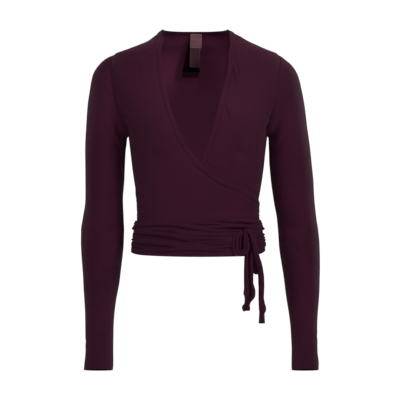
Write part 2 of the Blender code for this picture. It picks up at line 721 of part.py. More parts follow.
def main():
    clear_scene()
    home = bpy.data.collections.new("wrap_top")
    bpy.context.scene.collection.children.link(home)
    back_panel(home)
    back_band(home)
    for side in ("right", "left"):
        front_panel(side, home)
        front_band(side, home)
        sleeve(side, home)
    waist_sash(home)
    bow_knot(home)
    for name, rows in STRIPS.items():
        strip(name, rows, home)
    label("neck_label", LABELS["neck_label"], SATIN, home)
    label("care_label", LABELS["care_label"], TAFFETA, home)


main()
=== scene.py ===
# %% [markdown]
# # A wrap top in soft jersey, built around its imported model
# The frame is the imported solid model: plain pieces of the right size in the right place.
# This script dresses each of them as cloth. Everything is in the frame's own coordinates:
# +Z up, the front faces -Y, +X is the wearer's left.

# %% Load the frame
import json
import math

import bpy
import numpy as np
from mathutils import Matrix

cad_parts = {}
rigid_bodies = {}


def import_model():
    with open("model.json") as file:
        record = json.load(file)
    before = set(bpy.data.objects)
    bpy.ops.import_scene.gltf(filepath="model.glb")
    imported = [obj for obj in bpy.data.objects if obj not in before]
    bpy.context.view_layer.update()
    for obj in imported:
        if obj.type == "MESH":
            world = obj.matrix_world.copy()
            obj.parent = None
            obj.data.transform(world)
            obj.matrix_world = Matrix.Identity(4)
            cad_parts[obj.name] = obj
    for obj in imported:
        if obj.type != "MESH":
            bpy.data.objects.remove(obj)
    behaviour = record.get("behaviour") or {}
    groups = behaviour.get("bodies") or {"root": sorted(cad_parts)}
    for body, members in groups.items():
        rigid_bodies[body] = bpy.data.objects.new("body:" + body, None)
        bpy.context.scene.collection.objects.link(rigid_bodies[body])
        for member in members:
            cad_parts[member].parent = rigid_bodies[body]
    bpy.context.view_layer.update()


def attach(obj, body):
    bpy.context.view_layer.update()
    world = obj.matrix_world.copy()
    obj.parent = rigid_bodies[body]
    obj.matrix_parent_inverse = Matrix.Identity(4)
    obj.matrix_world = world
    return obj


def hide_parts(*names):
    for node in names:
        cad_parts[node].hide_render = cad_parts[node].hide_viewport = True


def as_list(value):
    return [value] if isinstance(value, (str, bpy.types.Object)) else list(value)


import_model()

MM = 0.001               # all sizes below are millimetres, and Blender works in metres

# %% [markdown]
# ## Reading tables as smooth curves
# A tailor notes a few sizes and joins them by eye. A monotone cubic does the same: it runs
# through every row of a table and never overshoots between two of them. A spline object
# could do it too, but a function can be read at any place and for whole arrays at once.
# Tables are written as text, one row a line; a pair such as 12,-40 is a place.

# %% Curves
def rows_of(text):
    """The rows of a table of numbers."""
    return [[float(word) for word in line.split()] for line in text.strip().splitlines()]


def pairs_of(text):
    """Places written as pairs."""
    return [tuple(float(part) for part in word.split(",")) for word in text.split()]


def curve(places, values):
    """A smooth curve through the rows of a table, read for arrays."""
    order = np.argsort(places)
    x, y = np.asarray(places, float)[order], np.asarray(values, float)[order]
    steps = np.diff(x)
    rises = np.diff(y) / steps
    slope = np.zeros_like(x)
    slope[0], slope[-1] = rises[0], rises[-1]
    turning = rises[:-1] * rises[1:] <= 0
    safe = np.where(rises == 0, 1.0, rises)
    w1, w2 = 2 * steps[1:] + steps[:-1], steps[1:] + 2 * steps[:-1]
    slope[1:-1] = np.where(turning, 0.0, (w1 + w2) / (w1 / safe[:-1] + w2 / safe[1:]))

    def read(at):
        at = np.clip(at, x[0], x[-1])
        i = np.clip(np.searchsorted(x, at) - 1, 0, len(x) - 2)
        h = x[i + 1] - x[i]
        s = (at - x[i]) / h
        return ((2 * s ** 3 - 3 * s ** 2 + 1) * y[i] + (s ** 3 - 2 * s ** 2 + s) * h * slope[i]
                + (3 * s ** 2 - 2 * s ** 3) * y[i + 1] + (s ** 3 - s ** 2) * h * slope[i + 1])
    return read


def curves(names, rows, along=None):
    """Each column of a table as a curve, by name."""
    table = dict(zip(names, zip(*rows)))
    places = table[along] if along else range(len(rows))
    return {name: curve(places, table[name]) for name in names}


def between(a, b, t):
    """a at t = 0 and b at t = 1."""
    return a + (b - a) * t


def ease(t):
    """0 below 0, 1 above 1, and a soft step in between."""
    t = np.clip(t, 0.0, 1.0)
    return t * t * (3 - 2 * t)


def unit(v):
    """The same directions, one long."""
    return v / np.maximum(np.linalg.norm(v, axis=-1, keepdims=True), 1e-9)


def lengths_along(points):
    """The length run so far at each point of a line, or of each column of a grid."""
    gaps = np.linalg.norm(np.diff(points, axis=0), axis=-1)
    return np.concatenate([0 * gaps[:1], np.cumsum(gaps, axis=0)])


# %% [markdown]
# ## The form that the top lies on
# The top is filled out as worn, so its panels all lie on one smooth form. The form is
# a stack of level sections, each a superellipse: half width, reach to the front and to the
# back. A place on it is a turn in degrees (0 front centre, +90 the left side) and a height.
# Its sizes are those of the solid model, so the cloth fits it.

# %% Sizes of the form
WALL, LAYER = 1.1, 2.3                                  # one wall, and how far the next one lies above it
BAND_WIDTH, NECK_POINT, NECK_BAND_DEPTH = 10, 1.2, 7.8
HEM, UNDERARM, SHOULDER = -457, -218, -52               # heights below the neck points
FRONT_END_TURN, UNDER_END_TURN = 88.5, -80.0            # where each front ends at the far side
EDGE_FOOT = {"right": -354, "left": -345}               # height of the edge's low end
LIFT_ABOVE, LIFT_OVER, LIFT_BESIDE = 22, 16, 7          # how softly the over front climbs the under one
FORM_COLUMNS = ("height", "half_width", "front", "back", "centre_x")
FORM = rows_of("""
6    62    44  50  -5
0    66.5  47  54  -4.8
-8   77.2  53  60  -3
-16  89.5  58  66  -0.4
-25  103.5 63  71  0.8
-33  121.5 68  76  0
-41  141   72  80  -1.6
-52  167   76  84  -2.6
-75  177   83  91  -1
-100 177   89  96  0
-130 172   96  100 0.3
-160 163   102 101 0.6
-190 152   106 98  0.8
-218 141.4 107 93  0.8
-245 137.8 105 88  0.8
-287 133   100 79  1
-328 126.8 95  71  1
-349 123.2 93  69  1
-370 122.2 92  70  1
-390 122   93  73  1.2
-410 123.6 95  77  1.5
-430 126.4 98  82  1.5
-464 129   101 88  1
""")
FRONT_POWER, BACK_POWER = 2.3, 2.5
CHEST = {"x": 82, "height": -208, "spread": 40, "above": 58, "below": 38, "depth": 18}
CHEST_FADE = 1.2         # the chest fades towards the sides
# The front edges as turns and heights, from the low end to the neck point.
OVER_EDGE = pairs_of("""
    88.5,-354 73,-346.5 63,-338 56,-329.5 47,-322 40,-317.5 30,-310 5,-279 -14,-234 -24,-189
    -32,-145 -39.6,-94 -45,-48 -60,-16 -90,1.2""")
UNDER_EDGE = pairs_of("""
    -80,-345 -58,-332 -29,-315 0.6,-279 11.2,-232 17.8,-189 24.6,-147 34.6,-94 43,-48 56,-16
    90,1.2""")
ARMHOLE_REACH = {"right": {True: 38, False: 50}, "left": {True: 48, False: 50}}     # in front, behind
ARMHOLE_POWER = 0.75

# %% The form as a function
form = curves(FORM_COLUMNS, FORM, "height")


def section(turn, height):
    """Points of the bare form for arrays of turns and heights."""
    turn, height = np.broadcast_arrays(np.asarray(turn, float), np.asarray(height, float))
    side, ahead = np.sin(np.radians(turn)), np.cos(np.radians(turn))
    front = ahead > 0
    half, depth = form["half_width"](height), np.where(front, form["front"](height), form["back"](height))
    power = np.where(front, FRONT_POWER, BACK_POWER)
    radius = ((abs(side) / half) ** power + (abs(ahead) / depth) ** power) ** (-1 / power)
    x, y = form["centre_x"](height) + radius * side, -radius * ahead
    rise = np.where(height > CHEST["height"], CHEST["above"], CHEST["below"])
    for sign in (-1, 1):
        away = ((x - sign * CHEST["x"]) / CHEST["spread"]) ** 2 + ((height - CHEST["height"]) / rise) ** 2
        y = y - CHEST["depth"] * np.maximum(ahead, 0) ** CHEST_FADE * np.exp(-away / 2)
    return np.stack([x, y, height], axis=-1)


def slopes(turn, height):
    """How the form runs per degree of turn and per millimetre of height."""
    return (section(np.add(turn, 0.5), height) - section(np.subtract(turn, 0.5), height),
            (section(turn, np.add(height, 1)) - section(turn, np.subtract(height, 1))) / 2)


def outward(turn, height):
    """The form's normal."""
    return unit(np.cross(*slopes(turn, height)))


def lifted(turn, height, lift=0.0):
    """Points lifted off the form along its normal."""
    return section(turn, height) + outward(turn, height) * np.asarray(lift)[..., None]


WAIST_HEIGHT = -390
print("girth at the waist:", round(lengths_along(section(np.arange(0, 361, 2), WAIST_HEIGHT))[-1]), "mm")

# %% [markdown]
# ## Outlines of the cut pieces
# A maker cuts a back, two fronts that cross, and two sleeves. Each panel is a patch of the
# form between four outlines, and each outline is a function of 0 to 1 along it. Drawing the
# patch from its outlines keeps neighbours together along a shared seam, which separate
# modelled pieces would not.

# %% Sides and armholes
FRONT_ROWS, BACK_ROWS, ARMHOLE_ROWS, EDGE_ROWS = 24, 20, 9, 20     # shares of a side outline
ARMHOLE_FROM = {True: 1 - ARMHOLE_ROWS / FRONT_ROWS, False: 1 - ARMHOLE_ROWS / BACK_ROWS}
EDGE_FROM = 1 - EDGE_ROWS / FRONT_ROWS         # share of a front's inner outline that lies hidden
NECK_SHARE = 5 / 26                            # each shoulder's share of the back's top
TOP_PULL = 5                                   # how near the top a patch bends to its upper outline


def sign_of(side):
    """Which way a side lies along X."""
    return 1 if side == "left" else -1


def centred(turn):
    """The same turn, between -180 and 180."""
    return (turn + 180) % 360 - 180


def turn_at_depth(height, reach, ahead):
    """The turn where the form is `reach` before or behind the side line."""
    depth, power = (form["front"], FRONT_POWER) if ahead else (form["back"], BACK_POWER)
    width = form["half_width"](height) * (1 - (reach / depth(height)) ** power) ** (1 / power)
    turn = np.degrees(np.arctan2(width, reach))
    return turn if ahead else 180 - turn


def armhole(side, ahead, t):
    """A place on the armhole, from the underarm (t = 0) to the shoulder (t = 1)."""
    angle = math.pi * (np.asarray(t) - 0.5)
    height = between(UNDERARM, SHOULDER, 0.5 + np.sin(angle) / 2)
    reach = ARMHOLE_REACH[side][ahead] * np.maximum(np.cos(angle), 0) ** ARMHOLE_POWER
    return turn_at_depth(height, reach, ahead), height


def on_side(side, ahead, turn):
    """A turn of the left half, on either side; turns of the back run on past 180."""
    if side == "left":
        return turn
    return -turn if ahead else 360 - turn


def side_outline(side, ahead):
    """Side seam up to the underarm, then the armhole."""
    share = ARMHOLE_FROM[ahead]

    def place(t):
        turn, height = armhole(side, ahead, np.clip((t - share) / (1 - share), 0, 1))
        low = t < share
        height = np.where(low, between(HEM, UNDERARM, t / share), height)
        turn = np.where(low, 90, np.minimum(turn, 90) if ahead else np.maximum(turn, 90))
        return on_side(side, ahead, turn), height
    return place


# %% Front edges and neck
EDGE_STEP = 0.004        # how far apart two places give the run of an edge


def edge_curve(rows):
    """A front edge, from its low end (0) to the neck point (1)."""
    turns, heights = np.array(rows).T
    run = lengths_along(section(turns, heights))
    return curve(run / run[-1], turns), curve(run / run[-1], heights)


def front_outline(side, distance):
    """Inner outline of a front at a distance inside its edge: the hidden end, then the edge."""
    over = side == "right"
    turns, heights = edge_curve(OVER_EDGE if over else UNDER_EDGE)
    end = FRONT_END_TURN if over else UNDER_END_TURN
    foot = EDGE_FOOT[side] - distance

    def place(v):
        t = np.clip((v - EDGE_FROM) / (1 - EDGE_FROM), 0, 1)
        turn, height = turns(t), heights(t)
        before, after = np.maximum(t - EDGE_STEP, 0), np.minimum(t + EDGE_STEP, 1)
        run = section(turns(after), heights(after)) - section(turns(before), heights(before))
        per_turn, per_height = slopes(turn, height)
        across = unit(np.cross(np.cross(per_turn, per_height), run)) * distance * (1 if over else -1)
        turn = turn + (across * per_turn).sum(-1) / (per_turn ** 2).sum(-1)
        height = height + (across * per_height).sum(-1) / (per_height ** 2).sum(-1)
        turn = np.clip(turn, -90, end) if over else np.clip(turn, end, 90)
        low = v < EDGE_FROM
        return np.where(low, end, turn), np.where(low, between(HEM, foot, v / EDGE_FROM), height)
    return place


def neck_line(drop):
    """The back neck, from the left shoulder seam (0) to the right one (1)."""
    return lambda t: (between(90, 270, t), NECK_POINT - drop + np.sin(np.pi * t))


def back_top(t):
    """Left shoulder seam, back neck below its binding, right shoulder seam."""
    neck = neck_line(NECK_BAND_DEPTH)
    neck_turn, neck_height = neck(np.clip((t - NECK_SHARE) / (1 - 2 * NECK_SHARE), 0, 1))
    ends = np.minimum(t, 1 - t) / NECK_SHARE
    height = np.where(ends < 1, between(SHOULDER, neck(0.0)[1], ends), neck_height)
    return np.where(t < NECK_SHARE, 90, np.where(t > 1 - NECK_SHARE, 270, neck_turn)), height


for front, rows in (("over", OVER_EDGE), ("under", UNDER_EDGE)):
    print(front, "front edge:", round(lengths_along(section(*np.array(rows).T))[-1]), "mm long")

# %% Layers and patches
SASH_TOP = pairs_of("-180,-387 -90,-391 0,-389 60,-385 90,-391 130,-389 180,-387")
HEM_RISE = pairs_of("-180,0 -120,2.2 -90,4 -58,0 0,-1.8 52,-1 90,6.5 125,3 180,0")
HEM_FADE = 55            # height over which the rest stops following the hem
SEAM_CROWD = 0.07        # how much closer the columns of a patch stand beside its seams
under_edge, sash_edge, hem_table = (curve(*np.array(rows).T) for rows in (UNDER_EDGE, SASH_TOP, HEM_RISE))


def hem_shift(turn, height):
    """The hem runs a little higher at the sides; places above it follow less and less."""
    return hem_table(centred(turn)) * (1 - ease((height - HEM) / HEM_FADE))


def over_lift(turn, height):
    """The over front rises where the under front lies beneath it."""
    beneath = ease((under_edge(turn) + LIFT_ABOVE - height) / LIFT_OVER)
    return WALL + LAYER * beneath * ease((turn + 90) / LIFT_BESIDE)


def flat_lift(turn, height):
    """The other panels lie straight on the form."""
    return np.full(np.shape(turn), WALL)


def patch(bottom, top, left, right, columns, rows):
    """Places between four outlines: an array of turns and one of heights."""
    s = np.linspace(0, 1, columns + 1)
    u = (s - SEAM_CROWD * np.sin(2 * np.pi * s))[None, :]
    v = np.linspace(0, 1, rows + 1)[:, None]
    out = []
    for k in (0, 1):
        low, high = bottom(u)[k], top(u)[k]
        level = between(left(v)[k], right(v)[k], u)
        level = level + (1 - v) * (low - between(bottom(0.0)[k], bottom(1.0)[k], u))
        out.append(level + v ** TOP_PULL * (high - between(top(0.0)[k], top(1.0)[k], u)))
    return out


def straight(a, b):
    """An outline that runs straight between two places."""
    return lambda t: (between(a[0], b[0], t), between(a[1], b[1], t))


# %% [markdown]
# ## Creases
# Jersey is soft: it has few sharp folds, but long soft troughs and ridges where it is pulled
# or pushed together. Sculpting them by hand would work, and a cloth simulation would place
# them by chance. Here each crease is a short path on the surface with a depth and a width,
# so that each lies where the top has it. A trough has soft shoulders, a groove and a slot
# have none, a ridge is round, a lip is steep on one side, and a pleat is a ridge and the
# groove beside it.

# %% Crease helpers
def crease_rows(text):
    """One row a crease: kind, depth, half width, share of its length that fades, places."""
    rows = []
    for line in text.strip().splitlines():
        kind, depth, width, fade, places = line.split(None, 4)
        rows.append((kind, float(depth), float(width), pairs_of(fade)[0], pairs_of(places)))
    return rows


def path_through(points):
    """A smooth line through a few points."""
    at = np.linspace(0, len(points) - 1, max(22, 3 * len(points)))
    return np.stack([curve(range(len(points)), points[:, k])(at) for k in range(3)], axis=1)


def beside_path(points, normals, path):
    """Signed distance of each point from a line on the surface, and its share along the line."""
    near = np.full(len(points), 1e9)
    signed, share = np.zeros(len(points)), np.zeros(len(points))
    runs, starts = np.diff(path, axis=0), lengths_along(path)
    for a, run, length, start in zip(path, runs, np.linalg.norm(runs, axis=1), starts):
        t = np.clip((points - a) @ run / length ** 2, 0, 1)
        gap = points - a - t[:, None] * run
        gap = gap - normals * (gap * normals).sum(1)[:, None]
        d = np.linalg.norm(gap, axis=1)
        closer = d < near
        side = np.sign((gap * np.cross(normals, run)).sum(1))
        near[closer] = d[closer]
        signed[closer] = (d * side)[closer]
        share[closer] = ((start + t * length) / starts[-1])[closer]
    return signed, share


PROFILES = {
    "trough": lambda x: -np.exp(-x ** 2) + 0.3 * (np.exp(-(x - 2) ** 2) + np.exp(-(x + 2) ** 2)),
    "groove": lambda x: -np.exp(-x ** 2),
    "slot": lambda x: -np.exp(-np.abs(x)),
    "ridge": lambda x: np.exp(-x ** 2),
    "lip": lambda x: np.where(x > 0, np.exp(-(x / 0.5) ** 2), np.exp(-(x / 1.7) ** 2)),
    "pleat": lambda x: 0.8 * np.exp(-((x - 1.25) / 1.1) ** 2) - np.exp(-((x + 0.2) / 0.75) ** 2),
}
REACH = 4                # a crease is felt this many half widths away


def relief(points, normals, creases, place):
    """How far each point of a grid moves out, for a list of creases."""
    flat, ups = points.reshape(-1, 3), normals.reshape(-1, 3)
    total = np.zeros(len(flat))
    for kind, depth, width, fade, places in creases:
        path = path_through(place(*np.array(places, float).T))
        room = REACH * width
        near = ((flat > path.min(0) - room) & (flat < path.max(0) + room)).all(1)
        if not near.any():
            continue
        signed, share = beside_path(flat[near], ups[near], path)
        first, last = fade[0], fade[-1]
        ends = (ease(share / first) if first else 1.0) * (ease((1 - share) / last) if last else 1.0)
        total[near] += depth * ends * PROFILES[kind](signed / width)
    return total.reshape(points.shape[:-1])


# %% [markdown]
# ## Making cloth from a grid of points
# Each piece is one grid of points, row by row. It becomes a mesh with a map of the cloth's
# grain: how far each point lies along the knit's rows and columns, in metres. The knit is
# drawn with that map, so that its columns run down the panel as they do on real jersey. A
# Solidify modifier gives the cloth its thin edge.

# %% Mesh helpers
CLOTH = 0.6              # thickness of one layer of jersey


def wrapped(grid, closed=True):
    """A grid with its first column once more at its end, where it closes to a tube."""
    return np.concatenate([grid, grid[:, :1]], axis=1) if closed else grid


def grid_normals(points, closed=False):
    """Outward normals of a grid whose columns run to the viewer's right as its rows rise."""
    across = (np.roll(points, -1, 1) - np.roll(points, 1, 1)) if closed else np.gradient(points, axis=1)
    return unit(np.cross(across, np.gradient(points, axis=0)))


def grain_map(wide):
    """Lengths along rows and along columns of a grid, in metres."""
    along_rows = lengths_along(wide.swapaxes(0, 1)).T
    middle = along_rows[:, along_rows.shape[1] // 2, None]
    return np.stack([along_rows - middle, lengths_along(wide)], axis=-1) * MM


def new_object(name, points, faces):
    """A smooth mesh of points and faces, in the scene."""
    mesh = bpy.data.meshes.new(name)
    mesh.from_pydata((points * MM).tolist(), [], faces)
    mesh.shade_smooth()
    piece = bpy.data.objects.new(name, mesh)
    bpy.context.scene.collection.objects.link(piece)
    return piece


def grid_object(name, points, closed=False, flip=False):
    """A grid of points as a mesh with a map of its grain."""
    rows, columns = points.shape[:2]

    def round_each_face(grid):
        around = (grid[:-1, :-1], grid[:-1, 1:], grid[1:, 1:], grid[1:, :-1])
        return np.stack(around[::-1] if flip else around, axis=2)

    quads = round_each_face(wrapped(np.arange(rows * columns).reshape(rows, columns), closed))
    piece = new_object(name, points.reshape(-1, 3), quads.reshape(-1, 4).tolist())
    grain = round_each_face(grain_map(wrapped(points, closed)))
    piece.data.uv_layers.new(name="grain").uv.foreach_set("vector", grain.astype(np.float32).ravel())
    return piece


def dress(piece, material, node=None, slot="jersey"):
    """Give a piece its finish and its body, and hide the node that it stands for."""
    piece.data.materials.append(material)
    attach(piece, "root")
    if node:
        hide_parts(node)
    return piece


def cloth(name, points, material, node, closed=False, flip=False, thick=CLOTH, slot="jersey", inside=None):
    """A sheet of cloth through a grid of points that is its outer face."""
    piece = grid_object(name, points, closed, flip)
    wall = piece.modifiers.new("thickness", "SOLIDIFY")
    wall.thickness, wall.offset = thick * MM, -1.0
    shading = piece.modifiers.new("rounded edge", "WEIGHTED_NORMAL")      # no dark line along its rims
    shading.weight, shading.keep_sharp = 100, False
    dress(piece, material, node, slot)
    if inside:
        piece.data.materials.append(inside)
        wall.material_offset = 1
    return piece


def surface_area(points, closed=False):
    """Area of a grid in square metres."""
    wide = wrapped(points, closed)
    a, b = wide[1:, 1:] - wide[:-1, :-1], wide[1:, :-1] - wide[:-1, 1:]
    return float(np.linalg.norm(np.cross(a, b), axis=2).sum() / 2 * MM * MM)


# %% [markdown]
# ## Finishes
# The jersey is a fine plum knit, nearly matt, with the faint bloom that brushed viscose has
# at its edges. An image of knit would blur or repeat, so the knit is worked out: columns of
# small V-shaped stitches from the grain map. Slow noise in the colour and a little fuzz in
# the roughness keep it from looking like plastic.

# %% Node helpers
SOCKETS = {"colour": "Base Color", "rough": "Roughness", "bump": "Normal", "gloss": "Specular IOR Level",
           "sheen": "Sheen Weight", "fuzz": "Sheen Roughness", "tint": "Sheen Tint"}


class Nodes:
    """A short way to write a material's nodes."""

    def __init__(self, name):
        self.material = bpy.data.materials.new(name)
        self.material.use_nodes = True
        self.tree = self.material.node_tree

    def add(self, kind, inputs=None, **settings):
        """A node with its inputs and settings."""
        node = self.tree.nodes.new("ShaderNode" + kind)
        for key, value in settings.items():
            setattr(node, key, value)
        for key, value in (inputs or {}).items():
            self.put(node.inputs[key], value)
        return node

    def put(self, socket, value):
        """Link another node to a socket, or set its value."""
        if isinstance(value, bpy.types.NodeSocket):
            self.tree.links.new(value, socket)
        else:
            socket.default_value = value

    def math(self, operation, a, b=0.0):
        """One operation on one or two values."""
        return self.add("Math", {0: a, 1: b}, operation=operation).outputs[0]

    def apart(self, a, b):
        """How far two values are apart."""
        return self.math("ABSOLUTE", self.math("SUBTRACT", a, b))

    def waves(self, value, length):
        """A sine wave along a value."""
        return self.math("SINE", self.math("MULTIPLY", value, 2 * math.pi / length))

    def mix(self, total, *parts):
        """A value plus a share of each of some others."""
        for value, share in parts:
            total = self.math("ADD", self.math("MULTIPLY", value, share), total)
        return total

    def grain(self):
        """Metres along the rows and along the columns of the cloth."""
        return self.add("SeparateXYZ", {0: self.add("UVMap", uv_map="grain").outputs[0]}).outputs[:2]

    def place(self):
        """Where a point lies in the piece's own coordinates."""
        return self.add("TexCoord").outputs["Object"]

    def ramp(self, value, stops):
        """A colour between two stops."""
        node = self.add("ValToRGB", {0: value})
        marks = node.color_ramp.elements
        for mark, (place, colour) in zip(marks, stops):
            mark.position, mark.color = place, (*colour, 1)
        return node.outputs[0]

    def noise(self, scale, detail, where):
        """Soft noise, about 0.5."""
        return self.add("TexNoise", {"Scale": scale, "Detail": detail, "Vector": where}).outputs["Fac"]

    def bump(self, height, distance, strength, normal=None):
        """A surface raised by a height of 0 to 1 times a distance in metres."""
        inputs = {"Height": height, "Distance": distance, "Strength": strength}
        if normal is not None:
            inputs["Normal"] = normal
        return self.add("Bump", inputs).outputs[0]

    def finish(self, **looks):
        """Fill the shader's sockets by plain names, and give the material."""
        for key, value in looks.items():
            self.put(self.tree.nodes["Principled BSDF"].inputs[SOCKETS[key]], value)
        return self.material


# %% Jersey
WALE, COURSE = 0.00085, 0.0007       # one column and one row of stitches, in metres


def knit_height(nodes):
    """Raised V stitches from the grain map, 0 to 1."""
    across, along = nodes.grain()
    wale = nodes.math("FRACT", nodes.math("DIVIDE", across, WALE))
    from_middle = nodes.apart(wale, 0.5)
    leg = nodes.waves(from_middle, 1)
    course = nodes.math("ADD", nodes.math("DIVIDE", along, COURSE), from_middle)
    loop = nodes.waves(nodes.math("FRACT", course), 2)
    return nodes.math("MULTIPLY", nodes.math("ABSOLUTE", leg), nodes.mix(0.5, (loop, 0.5)))


def jersey_material(name, dark, light):
    """Plum jersey between two shades."""
    nodes = Nodes(name)
    place = nodes.place()
    slow, fleck, fuzz = (nodes.noise(scale, detail, place) for scale, detail in ((9, 3), (900, 2), (260, 2)))
    colour = nodes.ramp(nodes.mix(0.0, (slow, 0.75), (fleck, 0.25)), [(0.35, dark), (0.65, light)])
    soft = nodes.bump(nodes.noise(26.0, 2.0, place), 0.0016, 0.35)
    knit = nodes.bump(knit_height(nodes), 0.00016, 0.55, soft)
    return nodes.finish(colour=colour, rough=nodes.mix(0.66, (fuzz, 0.16)), bump=knit, gloss=0.05,
                        sheen=0.06, fuzz=0.42, tint=(0.85, 0.50, 0.66, 1))


JERSEY = jersey_material("plum jersey", (0.0245, 0.0034, 0.0113), (0.0315, 0.0047, 0.0148))
# The inside faces are about two and a half times lighter than the outside. The reverse of jersey is a little
# lighter; the rest is painted light that stands in for the light on the inside of the back, seen through the
# neck.
INSIDE_WITH_PAINTED_LIGHT = jersey_material("jersey reverse, lightened with painted light", (0.0610, 0.0106, 0.0290), (0.0750, 0.0142, 0.0360))

# %% Thread, satin and tape
def thread_material():
    """Twisted sewing thread."""
    nodes = Nodes("plum sewing thread")
    strands = nodes.noise(2400.0, 1.0, nodes.place())
    colour = nodes.ramp(strands, [(0.3, (0.018, 0.0027, 0.0085)), (0.7, (0.030, 0.0052, 0.0145))])
    return nodes.finish(colour=colour, rough=nodes.mix(0.4, (strands, 0.2)),
                        bump=nodes.bump(strands, 0.0001, 0.5), gloss=0.1, sheen=0.05)


def woven_label(name, dark, light, rough, pitch, size, sheen=0.1, gloss=0.15):
    """A woven tape: fine ribs and a plain raised border. `size` is width, length and border."""
    nodes = Nodes(name)
    across, along = nodes.grain()
    ribs, warp = nodes.waves(along, pitch), nodes.waves(across, pitch * 0.8)
    weave = nodes.mix(0.5, (nodes.math("MULTIPLY", ribs, warp), 0.35))
    width, length, border = (v * MM for v in size)
    from_side = nodes.math("SUBTRACT", width / 2, nodes.math("ABSOLUTE", across))
    from_end = nodes.math("SUBTRACT", length / 2, nodes.apart(along, length / 2))
    rim = nodes.math("LESS_THAN", nodes.math("MINIMUM", from_side, from_end), border)
    cloud = nodes.noise(160.0, 3.0, nodes.place())
    shade = nodes.mix(0.0, (weave, 0.3), (cloud, 0.45), (rim, 0.28))
    raised = nodes.bump(nodes.mix(weave, (rim, 2.5)), 0.00012, 0.6)
    colour = nodes.ramp(shade, [(0.28, dark), (0.72, light)])
    return nodes.finish(colour=colour, rough=nodes.mix(rough, (cloud, 0.2)), bump=raised, gloss=gloss,
                        sheen=sheen)


NECK_LABEL_SIZE, CARE_TAPE_SIZE, LABEL_SHADOW_SIZE = (23.5, 29.5), (21.5, 69.0), (19.0, 78.0)     # width, length
THREAD = thread_material()
SATIN = woven_label("mauve label satin", (0.088, 0.032, 0.044), (0.150, 0.064, 0.082), 0.36, 0.0006,
                    (*NECK_LABEL_SIZE, 1.2))
TAPE = woven_label("dark care tape", (0.027, 0.0048, 0.0105), (0.064, 0.0135, 0.027), 0.42, 0.0007,
                   (*CARE_TAPE_SIZE, 2.4))
# Painted shadow: a near-black matt sheet with no sheen, hung behind the care tape where the labels' shadow
# falls on the back.
LABEL_SHADOW_SHEET = woven_label("near-black painted label shadow", (0.0009, 0.0004, 0.0006), (0.0026, 0.0011, 0.0018), 0.7, 0.0007,
                   (*LABEL_SHADOW_SIZE, 1.6), sheen=0.0, gloss=0.02)
print("finishes:", ", ".join(material.name for material in (JERSEY, INSIDE_WITH_PAINTED_LIGHT, THREAD, SATIN, TAPE, LABEL_SHADOW_SHEET)))

# %% [markdown]
# ## Back and fronts
# On the real top these are flat cuts of jersey that take the body's shape when worn. Each is
# one patch of the form with its own creases: soft drag lines that run from the underarms to
# the bust, long folds beside the neck, and small gathers where the side seams are drawn up.
# The seams are shallow grooves along shared lines, so that both neighbours dip alike.

# %% Seams of the body
FRONT_STEPS, BACK_STEPS = (132, 216), (160, 190)       # columns and rows of a panel
SEAM_DEPTH, SEAM_WIDTH = {"right": 0.1, "left": 0.35}, 2.0
STEPS_ALONG = np.linspace(0, 1, 40)
# The body swells at the armhole over this width, so that it flows into the sleeve.
CAP_FILL, CAP_FILL_WIDTH, CAP_FADE = {"right": 3.2, "left": 4.2}, 12.0, 0.5
# A deep fold runs from the underarm in front of and behind the armpit, this far inside the seam.
PIT_DEPTH, PIT_WIDTH, PIT_STEPS, PIT_FADE = 9.0, 4.2, 21, (0.25, 0.65)
PIT_ASIDE, PIT_ASIDE_TURN = 2.6, 1.0                   # in millimetres and as a turn
SIDE_SEAM_MIDDLE = -300


def seam_places():
    """Each seam of the body as a list of places, by name."""
    seams = {}
    for side in ("left", "right"):
        seam_turn = 90 * sign_of(side)
        for ahead in (True, False):
            turn, height = armhole(side, ahead, STEPS_ALONG)
            seams[("armhole", side, ahead)] = list(zip(on_side(side, ahead, turn), height))
        seams[("shoulder", side)] = [(seam_turn, height) for height in (SHOULDER, NECK_POINT)]
        seams[("side", side)] = [(seam_turn, height) for height in (UNDERARM, SIDE_SEAM_MIDDLE, HEM)]
    return seams


SEAMS = seam_places()


def seam_creases(panel):
    """A shallow groove along each seam of a panel. At an armhole it also swells to meet the sleeve."""
    sides, ahead = (("left", "right"), False) if panel == "back" else ((panel[6:],), True)
    armholes = [("armhole", side, ahead) for side in sides]
    names = armholes + [("shoulder", side) for side in sides] + [("side", side) for side in sides]
    rows = [("groove", SEAM_DEPTH[name[1]], SEAM_WIDTH, (0.0,), SEAMS[name]) for name in names]
    rows += [("ridge", CAP_FILL[name[1]], CAP_FILL_WIDTH, (CAP_FADE,), SEAMS[name]) for name in armholes]
    for name in armholes:
        aside = PIT_ASIDE_TURN * (-1 if (name[1] == "left") == ahead else 1)
        places = [(turn + aside, height) for turn, height in SEAMS[name][:PIT_STEPS]]
        rows.append(("slot", PIT_DEPTH, PIT_WIDTH, PIT_FADE, places))
    return rows


BINDING_GROOVE = {"back": (0.9, 2.2), "front": (0.75, 2.4)}        # depth, half width
BINDING_ASIDE = 0.6      # the groove lies this far outside the binding's own edge


def binding_seam(panel):
    """The panel dips to its binding, which is sewn on along this line."""
    if panel == "back":
        places, size = neck_line(NECK_BAND_DEPTH + BINDING_ASIDE)(STEPS_ALONG), BINDING_GROOVE["back"]
    else:
        places = front_outline(panel[6:], BAND_WIDTH)(np.linspace(EDGE_FROM, 1, 44))
        size = BINDING_GROOVE["front"]
    return [("groove", *size, (0.0,), list(zip(*places)))]


